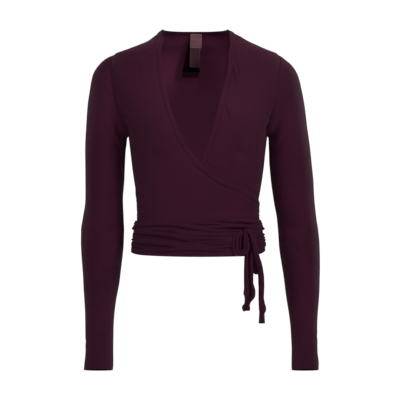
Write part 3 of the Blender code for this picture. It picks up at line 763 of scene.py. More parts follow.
# %% Creases of the body
# Kind, depth, half width, share of the length that fades, places as turn and height.
CREASES = {
    "front_right": crease_rows("""
trough 1.7 5   0.35 -84,-196 -70,-204 -56,-216
trough 1.2 4   0.4  -84,-176 -72,-178 -60,-186
ridge  0.9 5   0.4  -82,-150 -70,-160 -57,-176
trough 0.9 6   0.45 -62,-66 -58,-100 -58,-136
ridge  0.8 4   0.45 -55,-44 -49,-84 -44,-124
trough 2.6 11  0.45 -68,-254 -50,-262 -26,-262
trough 0.8 5   0.4  -86,-262 -72,-270 -58,-284
trough 0.7 5   0.4  -88,-318 -70,-322 -48,-330
lip    1.5 2.2 0.3  36,-320 43,-329 49,-341 53,-354
trough 1.3 2.6 0.3  14,-300 26,-318 38,-332
trough 1   3   0.4  -14,-262 -4,-284 10,-302
ridge  0.9 2.8 0.4  -88,-362 -68,-366 -46,-368
trough 1   2.6 0.4  -88,-372 -66,-377 -38,-378
ridge  0.8 2.6 0.4  30,-362 56,-366 86,-364
trough 1   2.4 0.4  22,-373 50,-375 86,-373
"""),
    "front_left": crease_rows("""
trough 2   3.2 0.4  47,-50 45,-78 46,-108
trough 2.6 3.2 0.4  41.5,-66 40.6,-96 41.4,-130
ridge  1.6 4.2 0.4  49,-60 47,-96 48,-132
trough 2   3   0.4  27,-150 30,-176 33,-206
ridge  1.3 4   0.4  24,-166 25,-192 29,-222
groove 3   9   0.5  35,-240 42,-250 48,-258
trough 1.6 5   0.35 84,-198 70,-202 57,-214
trough 1.1 4   0.4  84,-178 72,-180 61,-188
ridge  0.9 5   0.4  82,-152 70,-162 58,-178
trough 1.1 9   0.45 66,-250 46,-258 26,-262
trough 1   3.4 0.4  4,-268 16,-286 30,-300
ridge  0.9 3.4 0.4  12,-262 26,-280 44,-294
trough 0.8 4   0.4  86,-268 72,-276 56,-292
groove 2   2.2 0.35 38,-313 47,-317 56,-324 63,-332 73,-341 86,-349
trough 1   2.6 0.35 88,-330 74,-322 56,-314
"""),
    "back": crease_rows("""
trough 1.4 5   0.4  96,-190 112,-204 128,-222
trough 1.4 5   0.4  264,-188 248,-202 231,-218
ridge  1   5   0.4  98,-168 114,-178 132,-194
ridge  1   5   0.4  262,-166 246,-174 228,-192
trough 0.9 7   0.45 120,-70 126,-100 130,-136
trough 0.9 7   0.45 240,-66 235,-100 232,-140
trough 0.8 4   0.4  150,-22 164,-34 180,-38 200,-32
trough 1.3 5   0.4  118,-322 146,-334 176,-330
ridge  1.1 5   0.4  176,-318 206,-330 238,-322
trough 1.4 4.4 0.4  128,-346 160,-358 196,-352
trough 1.2 4   0.4  186,-340 216,-346 250,-338
ridge  1.1 4   0.4  150,-370 186,-376 224,-370
trough 1.1 3.4 0.4  94,-352 112,-358 134,-366
trough 1.1 3.4 0.4  266,-350 248,-356 226,-364
trough 0.8 6   0.45 104,-262 124,-276 148,-286
trough 0.8 6   0.45 256,-258 238,-270 214,-284
"""),
}
print("creases of the body:", {panel: len(rows) for panel, rows in CREASES.items()})

# %% Gathers
GATHER_DRIFT = ((0.9, 0.21, 0.4), (0.6, 0.37, 2.0))        # size, rate and start of each sine
DRIFT_ROUND = (0.35, 9)                                    # size and count round the body
GATHERS_IN, GATHERS_OUT = 8, 14                            # heights over which they come and go
RIDGE_HEIGHT, RIDGE_LEVEL = 1.7, 0.9
USUAL_DEPTH, UNEVEN = 0.7, ((0.3, 0.23, 1.0),)


def wave(at, seeds):
    """An uneven wave: a few sines that never line up."""
    return sum(size * np.sin(at * rate + start) for size, rate, start in seeds)


def gathers(turn, height, pitch, depth, spread, low, high):
    """Small ridges where cloth is drawn up along the side seams, between two heights."""
    from_seam = (np.abs(centred(turn)) - 90) / spread
    drift = wave(height, GATHER_DRIFT) + DRIFT_ROUND[0] * np.sin(np.radians(turn) * DRIFT_ROUND[1])
    inside = ease((height - low) / GATHERS_IN) * ease((high - height) / GATHERS_OUT)
    ripple = RIDGE_HEIGHT * np.abs(np.sin(np.pi * height / pitch + drift)) - RIDGE_LEVEL
    uneven = USUAL_DEPTH + wave(height, UNEVEN)
    return depth * np.exp(-from_seam ** 2) * ripple * uneven * inside


# %% Body panels
SIDE_GATHERS = {"pitch": 7.2, "depth": 1.4, "spread": 11, "low": -392, "high": -332}
RIGHT_GATHERS = 0.35     # the right side is gathered less
WAIST_SWELL = 2.9
SWELL_OVER, DIP_OVER, DIP_FROM = 17, 5, -6            # heights beside the waist's upper edge
SWELL_TO, SWELL_SIDE = 88, 24                         # turns


def toward_waist(turn, height):
    """The panels swell a little to meet the upper edge of the wrapped waist, then dip below it."""
    above = height - sash_edge(centred(turn))
    upright = (1 - ease((above - 1) / SWELL_OVER)) * ease((above - DIP_FROM) / DIP_OVER)
    return WAIST_SWELL * upright * ease((SWELL_TO - np.abs(centred(turn))) / SWELL_SIDE)


def ends_of(outline):
    """The first and last place of an outline."""
    return [tuple(float(k) for k in outline(np.float64(t))) for t in (0, 1)]


def body_panel(name, places, lift):
    """A panel of the body, with its seams and creases."""
    turn, height = places
    height = height + hem_shift(turn, height)
    points, normals = lifted(turn, height, lift(turn, height)), outward(turn, height)
    creases = seam_creases(name) + CREASES[name] + binding_seam(name)
    out = relief(points, normals, creases, lambda t, h: lifted(t, h, WALL)) + toward_waist(turn, height)
    if name != "front_left":
        out = out + gathers(turn, height, **SIDE_GATHERS) * np.where(turn > 0, 1.0, RIGHT_GATHERS)
    points = points + normals * out[..., None]
    cloth(name + "_panel", points, JERSEY, name, inside=INSIDE_WITH_PAINTED_LIGHT)
    print(name, "panel:", points.shape[:2], "points,", round(surface_area(points), 4), "square metres")


BINDING_OVERLAP = 0.6    # a panel runs this far under its binding
for side in ("right", "left"):
    inner, outer = front_outline(side, BAND_WIDTH - BINDING_OVERLAP), side_outline(side, True)
    left, right = (outer, inner) if side == "right" else (inner, outer)
    (low_left, high_left), (low_right, high_right) = ends_of(left), ends_of(right)
    places = patch(straight(low_left, low_right), straight(high_left, high_right), left, right, *FRONT_STEPS)
    body_panel("front_" + side, places, over_lift if side == "right" else flat_lift)

left, right = side_outline("left", False), side_outline("right", False)
places = patch(straight(left(0.0), right(0.0)), back_top, left, right, *BACK_STEPS)
body_panel("back", places, flat_lift)

# %% [markdown]
# ## Binding of the neck and the front edges
# The edge is finished with a strip of jersey folded round it and stitched down. A flat strip
# would show a raw edge, so the cross-section is followed all the way: up from the seam, along
# the outside, round the fold and back inside. It is swept along the edge in three runs that
# meet at the shoulder seams.

# %% Binding
# The binding's cross-section: how far inside the edge, and lift.
BINDING = pairs_of("""
    9.9,-1.3 9.4,-0.85 8.8,-0.3 8,0.15 6.9,0.45 5.6,0.6 4.3,0.62 3,0.58 1.9,0.45 1,0.2 0.35,-0.1
    0,-0.5 0.35,-0.95 1,-1.15 2.5,-1.2 4.5,-1.2 6.5,-1.2 8.5,-1.2 9.4,-1.3""")
BINDING_WALL = 0.45
EDGE_STEPS, NECK_STEPS = 260, 160
WOBBLE, WOBBLE_RATE, WOBBLE_WAVES = 0.18, 60, ((1, 1.0, 0), (0.6, 2.7, 1))


def front_binding(side):
    """The strip along one front edge."""
    over = side == "right"
    lift = over_lift if over else flat_lift
    v = np.linspace(EDGE_FROM, 1, EDGE_STEPS)
    wobble = WOBBLE * wave(v * WOBBLE_RATE, WOBBLE_WAVES)
    lines = []
    for inside, up in BINDING:
        turn, height = front_outline(side, inside)(v)
        lines.append(lifted(turn, height, lift(turn, height) + up + (wobble if up > 0 else 0)))
    points = np.stack(lines, axis=1)
    cloth("binding_" + side, points, JERSEY, "band_" + side, flip=not over, thick=BINDING_WALL)
    print("binding", side, round(surface_area(points), 4), "square metres,",
          round(lengths_along(points[:, 4])[-1]), "mm long")
    return points


def back_binding():
    """The strip along the back neck."""
    t = np.linspace(0, 1, NECK_STEPS)
    lines = [lifted(*neck_line(inside * NECK_BAND_DEPTH / BAND_WIDTH)(t), np.full(t.shape, WALL + up))
             for inside, up in BINDING]
    points = np.stack(lines, axis=0)
    cloth("binding_back", points, JERSEY, "band_back", thick=BINDING_WALL)
    return points


binding = {side: front_binding(side) for side in ("right", "left")}
binding["back"] = back_binding()

# %% [markdown]
# ## Sleeves
# A set-in sleeve is cut flat with a rounded cap and sewn into a tube. Here it is a stack of
# rings: the first lies on the armhole, the rest follow a table of rings down the arm. The
# armhole's bent shape fades into the flat rings over the cap. The cuff turns up inside, as
# the stitched hem does. Creases are placed by an angle round the arm and a row of the table.

# %% Sizes of the sleeves
# In rows of the table: where the armhole's shape ends, how far above the first ring the seam
# lies, over how much the creases come in, and where the rings begin to lean.
CAP_BLEND, CAP_START, CREASES_IN, LEAN_FROM, LEAN_OVER = 6, 0.6, 0.5, 8, 4
SEAM_TURN = (1.0, 2.0)     # the sleeve's seam edge goes this far under the body, and this far in
CUFF_HEIGHT = -693.7
CUFF_FOLD = pairs_of("-0.45,0.15 -0.5,0.7 -0.1,1.15 2,1.25 5,1.25 8,1.25 12,1.25")     # rise, inward
SLEEVE_AROUND, SLEEVE_ALONG, SLEEVE_WALL = 144, 212, 0.55
SLEEVE_DRIFT = ((0.25, 0.045, 0.5), (0.2, 0.083, 2.2))
RING_COLUMNS = ("outer_x", "outer_z", "inner_x", "inner_z", "mid_y", "half_depth")
RINGS = {
    "right": rows_of("""
177   -52.5  143.4 -219.6 5     46
187   -57.4  144.4 -221.2 6     48
203   -71.8  145   -223   8     50
215   -92    145.4 -225.5 10    50
221.6 -123   145.8 -229.5 11    49
227   -164   146.8 -237   12    47.5
230.4 -215   148.2 -247   13    46
231.3 -266   149.2 -270   15    45
231.2 -308   150.8 -308   17    44
231.8 -350   153.4 -350   19    43
236.4 -386   152.8 -386   20    42.5
240.4 -412   151.4 -412   20    42
240.8 -435   151.8 -435   18.5  41.5
237.6 -484   156.4 -484   14    39.5
235   -515   160.2 -515   10    37
232   -555   167.2 -555   3     32
229.4 -615   171.5 -615   -9    27
228.4 -656   171.5 -656   -17   25.5
229.8 -680   171.4 -680   -21   26.5
231   -693.7 172.4 -693.7 -23.5 26
"""),
    "left": rows_of("""
171   -54    145   -219.6 1     48
179.6 -60.5  145.6 -221.2 3     49
193   -71.8  146   -223   6     50
206   -92.2  146.2 -225.5 10    50
214.4 -123   146.4 -229.5 11    49
221.6 -164   146.8 -237   12    47.5
228.2 -215   147.2 -247   13    46
234.4 -266   147.6 -268   15    45
238.8 -308   151.2 -308   17    44
241.6 -349   156.6 -349   19    43
244.8 -386   164   -386   20    42.5
248.8 -410   166   -410   20    42
251.8 -440   167.6 -440   18.5  41.5
252.4 -484   173.5 -484   14    39.5
251.2 -515   178.4 -515   10    37
248.8 -555   183.3 -555   3     32
244.8 -615   190.4 -615   -9    27
244.8 -656   191.8 -656   -17   25.5
246.6 -680   191.6 -680   -21   26.5
246   -693.7 191.8 -693.7 -23.5 26
"""),
}
LAST_RING = len(RINGS["right"]) - 1

# %% Creases of the sleeves
# Their places: angle round the arm (0 the inner side, 90 the front, 180 the outer
# side, 270 the back) and row of the table.
SLEEVE_CREASES = {
    "right": crease_rows("""
groove 8   5.6 0.35,0.5 34,1.6 28,3 23,4.2 18,6 14,7.8
groove 1.3 2.4 0.25 150,1.6 127,1.9 104,2.1 83,2 64,1.9 34,1.4
trough 2.2 6   0.4  20,5 60,3.6 96,3.4
trough 1.6 5   0.4  24,6.6 66,5.4 108,5
ridge  1.4 6   0.4  40,4.2 80,3 116,2.4
trough 1.8 6   0.4  340,5 300,3.6 262,2.8
trough 1.2 9   0.45 120,6.6 108,8 98,9.4
ridge  1.3 4   0.35 122,10.6 126,11.4 124,12.3
trough 1.5 6   0.4  30,10.6 70,11 112,10.2
trough 1.6 5   0.4  14,11.8 60,12.2 104,13
ridge  1.2 5   0.4  20,12.6 66,13 120,12.8
trough 1.6 5   0.4  340,11.2 296,11.8 250,11.2
trough 1.4 5   0.4  350,12.6 300,12.9 256,13.6
trough 1   6   0.45 60,14.2 90,15 120,16.2
ridge  0.9 5   0.45 110,13.6 80,15 60,16
trough 1   3.6 0.4  30,17 80,17.3 130,17
trough 0.9 3.2 0.4  200,16.2 160,16.6 110,16.5
trough 0.9 3.4 0.4  330,16.6 290,17.2 240,17
ridge  0.8 3.4 0.4  10,15.6 50,16.4 100,17.6
"""),
    "left": crease_rows("""
groove 8   5.6 0.35,0.5 34,1.6 28,3 23,4.2 18,6 14,7.8
trough 2   6   0.4  20,5.2 60,3.6 98,2.8
trough 1.4 5   0.4  26,6.8 66,5.8 106,5.2
ridge  1.2 6   0.4  42,4.4 80,3.4 114,2.6
trough 1.8 6   0.4  340,5.2 302,3.8 264,3
trough 1   8   0.45 70,7.4 90,8.6 112,9.6
trough 1.6 6   0.4  28,10.2 68,10.8 108,10.6
trough 1.5 5   0.4  16,11.6 60,12 100,12.8
ridge  1.2 5   0.4  24,12.4 70,12.7 122,12.2
trough 1.6 5   0.4  338,11 298,11.6 252,11.4
trough 1.3 5   0.4  348,12.4 302,12.8 258,13.2
trough 1.1 5   0.45 124,13.4 96,14.6 70,15.6
ridge  0.9 5   0.45 50,13.8 82,15.2 112,16.2
trough 1   3.6 0.4  36,16.8 84,17.2 136,16.9
trough 0.9 3.2 0.4  196,16 150,16.5 108,16.2
trough 0.9 3.4 0.4  332,16.4 288,17 246,16.8
ridge  0.8 3.4 0.4  60,17.9 96,17.6 140,17.9
"""),
}


# %% Rings of a sleeve
def sleeve_rings(side, rows, angles, ends=None):
    """Flat rings of the arm for arrays of table rows and angles round it."""
    read = curves(RING_COLUMNS, RINGS[side])
    rows = np.asarray(rows, float)
    at = {name: size(rows) for name, size in read.items()}
    down, back = (read[name](rows + 0.5) - read[name](rows - 0.5) for name in ("outer_z", "mid_y"))
    lean = np.arctan2(-back, -down) * ease((rows - LEAN_FROM) / LEAN_OVER)
    inner, outer = ends or [np.stack([sign_of(side) * at[end + "_x"], at["mid_y"], at[end + "_z"]], axis=-1)
                            for end in ("inner", "outer")]
    ahead = np.stack([0 * lean, -np.cos(lean), np.sin(lean)], axis=-1) * at["half_depth"][..., None]
    a = np.radians(angles)[..., None]
    return (inner + outer) / 2 + (inner - outer) / 2 * np.cos(a) + ahead * np.sin(a)


def round_armhole(side, angles):
    """Places round an armhole: underarm (0), front, shoulder (180), back."""
    halves = zip(armhole(side, True, np.clip(angles / 180, 0, 1)),
                 armhole(side, False, np.clip(2 - angles / 180, 0, 1)))
    turn, height = (np.where(angles <= 180, front, back) for front, back in halves)
    return sign_of(side) * turn, height


def armhole_ring(side, angles):
    """The sleeve's first ring, on the armhole."""
    return lifted(*round_armhole(side, angles), WALL)


def sleeve_at(side):
    """A function from angles and rows to points of the sleeve."""
    def place(angles, rows):
        angles, rows = np.broadcast_arrays(np.asarray(angles, float) % 360, np.asarray(rows, float))
        first = armhole_ring(side, angles)
        ends = [armhole_ring(side, np.array([a]))[0] for a in (0.0, 180.0)]
        bend = first - sleeve_rings(side, 0 * rows, angles, ends)
        share = (1 - ease((np.maximum(rows, 0) + CAP_START) / CAP_BLEND))[..., None]
        ring = sleeve_rings(side, np.maximum(rows, 0), angles) + bend * share
        return between(first, ring, ease((rows + CAP_START) / CAP_START)[..., None])
    return place


def even_rows(side, count):
    """Rows of the table at even steps down the arm."""
    fine = np.linspace(-CAP_START, LAST_RING, 400)
    run = lengths_along((sleeve_at(side)(180.0, fine) + sleeve_at(side)(90.0, fine)) / 2)
    return np.interp(np.linspace(0, run[-1], count), run, fine)


# %% Cap and cuff
def cap_joint(side, angles, points, normals):
    """Lets the first rows of a sleeve meet the body as the panels do: one shared groove."""
    joint = outward(*round_armhole(side, angles))
    length = lengths_along(np.concatenate([points[0], points[0][:1]]))
    front, top = angles <= 180, length[len(angles) // 2]
    share = np.where(front, length[:-1] / top, (length[-1] - length[:-1]) / (length[-1] - top))
    swell = CAP_FILL[side] * ease(share / CAP_FADE) * ease((1 - share) / CAP_FADE)
    last = 180 * STEPS_ALONG[PIT_STEPS - 1]
    end = np.where(front, np.interp(last, angles, share), np.interp(360 - last, angles, share))
    pit = PIT_DEPTH * ease(share / end / PIT_FADE[0]) * ease((1 - share / end) / PIT_FADE[1])
    down = lengths_along(points)
    way = unit(between(joint[None], normals, ease(down / CAP_FILL_WIDTH)[..., None]))
    out = (swell * np.exp(-(down / CAP_FILL_WIDTH) ** 2)
           - SEAM_DEPTH[side] * np.exp(-(down / SEAM_WIDTH) ** 2)
           - pit * np.exp(-(down + PIT_ASIDE) / PIT_WIDTH))
    return points + way * out[..., None]


def cuff_fold(points, normals, depths):
    """The rows of the cuff's hem, which turns up inside."""
    rows = []
    for rise, inward in CUFF_FOLD:
        level = np.interp(-CUFF_HEIGHT - rise, depths, np.arange(len(depths)))
        first, after = int(level), min(int(level) + 1, len(points) - 1)
        base = between(points[first], points[after], level % 1) + np.array([0, 0, min(0.0, rise)])
        rows.append(base - normals[-1] * inward)
    return np.stack(rows)


# %% Sleeves
def sleeve(side):
    """A sleeve, from the turned-in edge of its cap to its folded cuff."""
    angles = np.arange(SLEEVE_AROUND) * 360 / SLEEVE_AROUND
    rows = even_rows(side, SLEEVE_ALONG)
    place = sleeve_at(side)
    points = place(angles[None, :], rows[:, None])
    normals = grid_normals(points, True) * -sign_of(side)
    points = cap_joint(side, angles, points, normals)
    out = relief(points, normals, SLEEVE_CREASES[side], place)
    out = (out + wave(points[..., 2], SLEEVE_DRIFT)) * ease((rows[:, None] + CAP_START) / CREASES_IN)
    points = points + normals * out[..., None]
    cuff = cuff_fold(points, normals, -place(180.0, rows)[:, 2])
    turned_in = points[:1] + unit(points[:1] - points[1:2]) * SEAM_TURN[0] - normals[:1] * SEAM_TURN[1]
    points = np.concatenate([turned_in, points, cuff], axis=0)
    cloth("sleeve_" + side + "_tube", points, JERSEY, "sleeve_" + side, closed=True, flip=side == "left",
          thick=SLEEVE_WALL, inside=INSIDE_WITH_PAINTED_LIGHT)
    print("sleeve", side, points.shape[:2], round(surface_area(points, True), 4), "square metres")
    return points


sleeves = {side: sleeve(side) for side in ("right", "left")}

# %% [markdown]
# ## The wrapped waist
# The wide ties go round the waist and bunch into long shallow folds that run nearly level. A
# simulation of the pull would not put them where they are, so each fold is a row of a table.
# The band is one strip of cloth: it starts inside, turns at the hem, carries the folds up its
# outside, and rolls in at its upper edge.

# %% Sizes and broad folds of the waist
SASH_HEM, SASH_WALL, SASH_ROOM, SASH_EASE, SASH_RIM = -460, 1.4, 0.8, 2.4, 9
SASH_STEP_IN = (91, 103)             # the turns between which the layers beneath end
SASH_FACE, FOOT_LIFT = 7.0, 4.2      # usual lift of the outer face, and of its foot above the layers
FACE_FROM, FACE_BELOW_TOP, FOOT_OVER = 1.0, 0.8, 3
AT_RIM, FOLDS_AT_RIM, FOLDS_AT_FOOT = 0.35, 0.15, 0.5      # what is left of the lift and the folds there
SASH_AROUND, SASH_UP, SASH_THICK = 440, 92, 0.5
SASH_GATHERS = {"pitch": 6.6, "depth": 1.7, "spread": 15, "low": -470, "high": -384}
# Beside the outer face: height above the hem or the upper edge, lift above what lies beneath.
HEM_TURN = pairs_of("10,0.5 6,0.5 3,0.55 1,0.75 0.2,1.3 0,2 0.25,2.7")
TOP_TURN = pairs_of("0,1.75 0.15,1.2 -0.5,0.75 -2,0.55 -5,0.5 -9,0.5")
BROAD_FOLDS = crease_rows("""
pleat  4.4 3.8 0.2  -97,-411 -79,-414 -54,-419 -36,-424 -13,-431 10,-433
pleat  2.9 3.1 0.25 -96,-402 -70,-401 -43,-401 -26,-403 -6,-409 26,-415
pleat  2.6 3.1 0.3  -92,-434 -64,-436 -36,-441 -10,-450
trough 2.1 3.4 0.3  -40,-422 -6,-424 24,-424 52,-421
pleat  2.9 3.4 0.3  -66,-449 -35,-452 -8,-451 20,-452 44,-446
ridge  1.6 4.4 0.3  -14,-397 12,-399 40,-401 66,-403
pleat  3.1 3   0.3  0,-390 22,-392 48,-396 74,-398
pleat  2.6 3.1 0.3  14,-404 38,-406 62,-408 94,-404
pleat  2.7 3   0.3  -4,-436 20,-438 44,-436 60,-432
""")

# %% Narrow folds, and those of the sides and the back
NARROW_FOLDS = crease_rows("""
trough 2.3 2.1 0.35 -40,-387 -23,-392 -6,-394
pleat  2.9 2.1 0.35 6,-387 21,-389 38,-391 52,-395 66,-398
trough 2.1 2.1 0.35 8,-393 30,-395 52,-400 70,-403
pleat  2.6 2.1 0.35 -18,-396 6,-399 29,-399 46,-400
trough 2.3 2.1 0.35 2,-404 21,-408 38,-407 58,-410
pleat  2.9 2.1 0.35 -30,-424 -3,-428 20,-429 41,-425
trough 2.5 2   0.35 0,-435 20,-434 40,-434
ridge  1.8 2.3 0.35 -76,-428 -52,-431 -30,-436 -8,-441
pleat  2.2 2.2 0.35 -76,-435 -52,-436 -36,-441 -22,-447
ridge  1.8 2.6 0.35 -84,-420 -60,-423 -36,-428
trough 2   2.1 0.35 -90,-442 -66,-444 -46,-446
trough 2   2.1 0.35 -88,-396 -60,-395 -34,-396 -14,-401
pleat  2.1 2   0.35 -78,-392 -48,-390 -26,-393
ridge  1.7 2.3 0.35 -20,-444 6,-445 34,-441 50,-438
trough 2   2   0.35 -60,-412 -36,-414 -16,-418
trough 1.8 2.1 0.35 -10,-414 14,-415 40,-414 62,-414
pleat  2.3 2.1 0.35 14,-446 34,-444 54,-440
trough 1.8 2   0.35 -94,-426 -76,-427 -58,-431
pleat  2.1 2   0.35 60,-416 74,-418 92,-417
trough 1.8 2   0.35 -30,-456 0,-457 30,-455
pleat  3.4 2.6 0.3  56,-426 68,-425 84,-424 94,-423
ridge  3   7   0.3  58,-438 74,-438 92,-437
""")
SIDE_AND_BACK_FOLDS = crease_rows("""
pleat  3.4 3.6 0.25 66,-412 100,-415 128,-418 150,-419
ridge  2.1 4.7 0.25 72,-428 110,-430 140,-434 170,-437
pleat  2.9 3.4 0.25 80,-440 120,-445 160,-448 200,-447
pleat  3.1 3.4 0.25 110,-396 150,-400 190,-403 235,-405
ridge  2.1 4.7 0.25 140,-409 180,-413 220,-414 262,-411
pleat  3.6 3.6 0.25 150,-424 190,-428 230,-427 268,-421
ridge  2   4.4 0.25 185,-436 215,-440 245,-440 270,-436
pleat  2.3 2.2 0.35 96,-390 124,-392 150,-396
trough 2.2 2.2 0.35 100,-406 130,-409 160,-412
ridge  1.7 2.6 0.35 120,-402 156,-406 186,-408
pleat  2.3 2.2 0.35 164,-416 190,-419 220,-420
trough 2.2 2.2 0.35 196,-394 226,-396 256,-399
ridge  1.7 2.6 0.35 210,-432 236,-433 262,-428
pleat  2.2 2.2 0.35 206,-450 236,-448 262,-444
trough 2.1 2.2 0.35 110,-452 136,-454 166,-455
""")


# %% The waist
def sash_base(turn):
    """Two layers lie beneath the waist in front, one behind."""
    start, end = SASH_STEP_IN
    return (1 + ease((end - np.abs(centred(turn))) / (end - start))) * LAYER + SASH_ROOM


def waist_points():
    """The band's hem turn, its folded outer face and its rolled upper edge, row by row."""
    turns = np.linspace(-180, 180, SASH_AROUND, endpoint=False)
    top, base, hem = sash_edge(turns), sash_base(turns), SASH_HEM + hem_table(turns)
    height = between(SASH_HEM + FACE_FROM, top[None, :] - FACE_BELOW_TOP, np.linspace(0, 1, SASH_UP)[:, None])
    turn = np.broadcast_to(turns, height.shape)
    height = height + hem_shift(turn, height)
    rim, foot = ease((top - height) / SASH_RIM), ease((height - hem) / FOOT_OVER)
    lift = base + SASH_WALL + SASH_EASE * between(AT_RIM, 1, rim)
    folds = relief(lifted(turn, height, lift), outward(turn, height),
                   BROAD_FOLDS + NARROW_FOLDS + SIDE_AND_BACK_FOLDS, lambda t, h: lifted(t, h, SASH_FACE))
    folds = folds + gathers(turn, height, **SASH_GATHERS)
    lift = lift + folds * between(FOLDS_AT_RIM, 1, rim) * between(FOLDS_AT_FOOT, 1, foot)
    follow = lift[0] / (base + FOOT_LIFT)
    rows = [lifted(turns, hem + rise, base + out * (follow if out > 1 else 1)) for rise, out in HEM_TURN]
    rows += list(lifted(turn, height, lift))
    rows += [lifted(turns, top + rise, base + out) for rise, out in TOP_TURN]
    return np.stack(rows)


waist = waist_points()
cloth("waist_wrap", waist, JERSEY, "waist_sash", closed=True, thick=SASH_THICK)
print("waist", waist.shape[:2], round(surface_area(waist, True), 3), "square metres")

# %% [markdown]
# ## Bow and hanging ends
# The ties are narrow tubes of jersey, pressed flat, tied in a half bow whose loops and ends
# hang straight down. Each is a strip through a few stations, bowed out in the middle, with
# long soft pleats that wander along it and edges that curl back. The knot is a small gathered
# turn of the same strip.

# %% Sizes of the bow
KNOT = {"centre": (100.4, -85.0, -411.5), "radii": (8.5, 5.0, 6.0)}
KNOT_STEPS, KNOT_WALL, KNOT_TOP = (64, 30), 0.9, 1.2
STRIP_COLUMNS = ("x", "y", "z", "width", "facing", "cup")
STRIPS = {
    "bow_loop_left": rows_of("""
94.4 -88.8 -415   4.5  28 1
96.6 -93   -424   9.5  22 3.6
97.4 -97   -440   13   20 6
95   -98.5 -450.5 12.5 20 5.4
87.6 -100  -454.5 9    20 3.6
80   -100  -450.5 14   20 4.6
77.6 -98.5 -440   17.5 20 5.4
78.6 -96   -428   15.5 20 4.8
83.2 -92.5 -418   9.5  24 2.6
89.6 -89.5 -412.5 5    30 1.2
"""),
    "bow_loop_right": rows_of("""
107.4 -81.8 -415.6 3.5 30 0.8
109.6 -80.6 -428   5   28 1.4
110.8 -82   -442   6   25 2
112.2 -83   -460   6.5 25 2.4
112.8 -83   -480   6.5 25 2.4
114.6 -82.6 -492   5   25 2
118   -81.2 -494   4.6 25 2
120.8 -79.5 -483   6   25 2.2
120.6 -78   -464   6   25 1.8
118.6 -76   -448   5.5 25 1.2
"""),
    "tie_end_left": rows_of("""
102.4 -81.5 -417.8 5    24 1
103.6 -80.5 -434   8    20 1.6
102.8 -84.5 -450   13   16 3
102.8 -88.5 -468   17   12 4.4
102.8 -90   -490   17   10 4.6
102.8 -90   -512   17.5 10 4.6
104.8 -90   -529   22   10 5.2
104.6 -90   -538   21.5 10 5
101   -90   -549   12.5 10 3.6
99.2  -90   -556   10   8  3
97.2  -90   -563   14.5 4  2.4
97.6  -90   -569   12.5 0  1.6
"""),
    "tie_end_right": rows_of("""
105.4 -87.4 -415.9 4    30 1
110.6 -91.2 -430   9    28 3.2
113.6 -92   -443   10   26 4
117.4 -91.5 -457   11   26 4.4
121.6 -90.5 -471   11   24 4.4
125.6 -89.5 -486   10.8 20 4.2
127.8 -89   -502   10.2 16 4
128.3 -89   -522   9.6  14 3.8
127.8 -89   -540   9.2  14 3.6
128.9 -89   -554   10.6 14 3.4
130.8 -89   -566   13   14 3
128.8 -89   -576   9.4  10 2
128.6 -89   -594   10.6 6  1.6
"""),
}
# Pleats of a strip: depth, how many across, how far they wander, a start, and the curl of its edges.
PLEATS = {"bow_loop_left": (4.0, 2.6, 0.5, 0.9, 4.5), "bow_loop_right": (1.2, 1.0, 0.3, 1.0, 2.0),
          "tie_end_left": (4.4, 1.5, 0.4, 2.6, 3.0), "tie_end_right": (1.4, 1.1, 0.5, 0.2, 4.0)}
PLEATED_WIDTH = 14       # a strip of this width has pleats of full depth
CURL_FROM, CRUMPLE, NARROWING = 0.7, 0.35, 0.04
STRIP_FINE, STRIP_ACROSS, TIE_WALL = 12, 41, 1.3


# %% Bow
def strip_points(name):
    """A pleated strip through its stations."""
    rows = STRIPS[name]
    read = curves(STRIP_COLUMNS, rows)
    deep, count, wander, start, curled = PLEATS[name]
    place = np.linspace(0, len(rows) - 1, (len(rows) - 1) * STRIP_FINE + 1)
    at = {key: size(place) for key, size in read.items()}
    middle = np.stack([at[k] for k in "xyz"], axis=1)
    run = unit(np.stack([read[k](place + 0.25) - read[k](place - 0.25) for k in "xyz"], axis=1))
    yaw = np.radians(at["facing"])
    face = np.stack([np.sin(yaw), -np.cos(yaw), 0 * yaw], axis=1)
    face = unit(face - run * (face * run).sum(1)[:, None])
    across = np.cross(run, face) * at["width"][:, None] / 2
    s, p = np.linspace(-1, 1, STRIP_ACROSS)[None, :], place[:, None]
    wide = (at["width"] / PLEATED_WIDTH)[:, None]
    swing = start + wander * np.sin(p * 0.9 + start)
    pleat = deep * wide * np.cos(math.pi * count * s + swing) * (1 - 0.5 * s ** 2)
    curl = -curled * wide * ease((np.abs(s) - CURL_FROM) / (1 - CURL_FROM))
    crumple = CRUMPLE * np.sin(p * 5.3 + 1.1) * np.sin(2.6 * s + p * 1.7)
    out = at["cup"][:, None] * (0.65 - np.abs(s) ** 3) + pleat + curl + crumple
    narrow = s * (1 - NARROWING * np.cos(p * 2.3))
    return middle[:, None] + across[:, None] * narrow[..., None] + face[:, None] * out[..., None]


def knot_points():
    """A small turn of cloth round the ties, wrinkled along its height."""
    around = np.linspace(0, 2 * np.pi, KNOT_STEPS[0], endpoint=False)[None, :]
    up = np.linspace(-KNOT_TOP, KNOT_TOP, KNOT_STEPS[1])[:, None]
    swell = np.cos(up) ** 0.6
    wrinkle = 1 + 0.10 * np.sin(5 * around + 1.2 * up) + 0.05 * np.sin(11 * around + 2.0)
    x, y, z = KNOT["radii"]
    points = np.stack([x * swell * wrinkle * np.sin(around), -y * swell * wrinkle * np.cos(around),
                       z * np.sin(up) / np.sin(KNOT_TOP) + 0 * around], axis=-1)
    return points + np.array(KNOT["centre"])


strips = {name: strip_points(name) for name in STRIPS}
for name, points in strips.items():
    cloth(name + "_cloth", points, JERSEY, name, flip=True, thick=TIE_WALL)
    print(name, points.shape[:2], round(surface_area(points) * 1e4, 1), "square centimetres")
cloth("bow_knot_cloth", knot_points(), JERSEY, "bow_knot", closed=True, thick=KNOT_WALL)
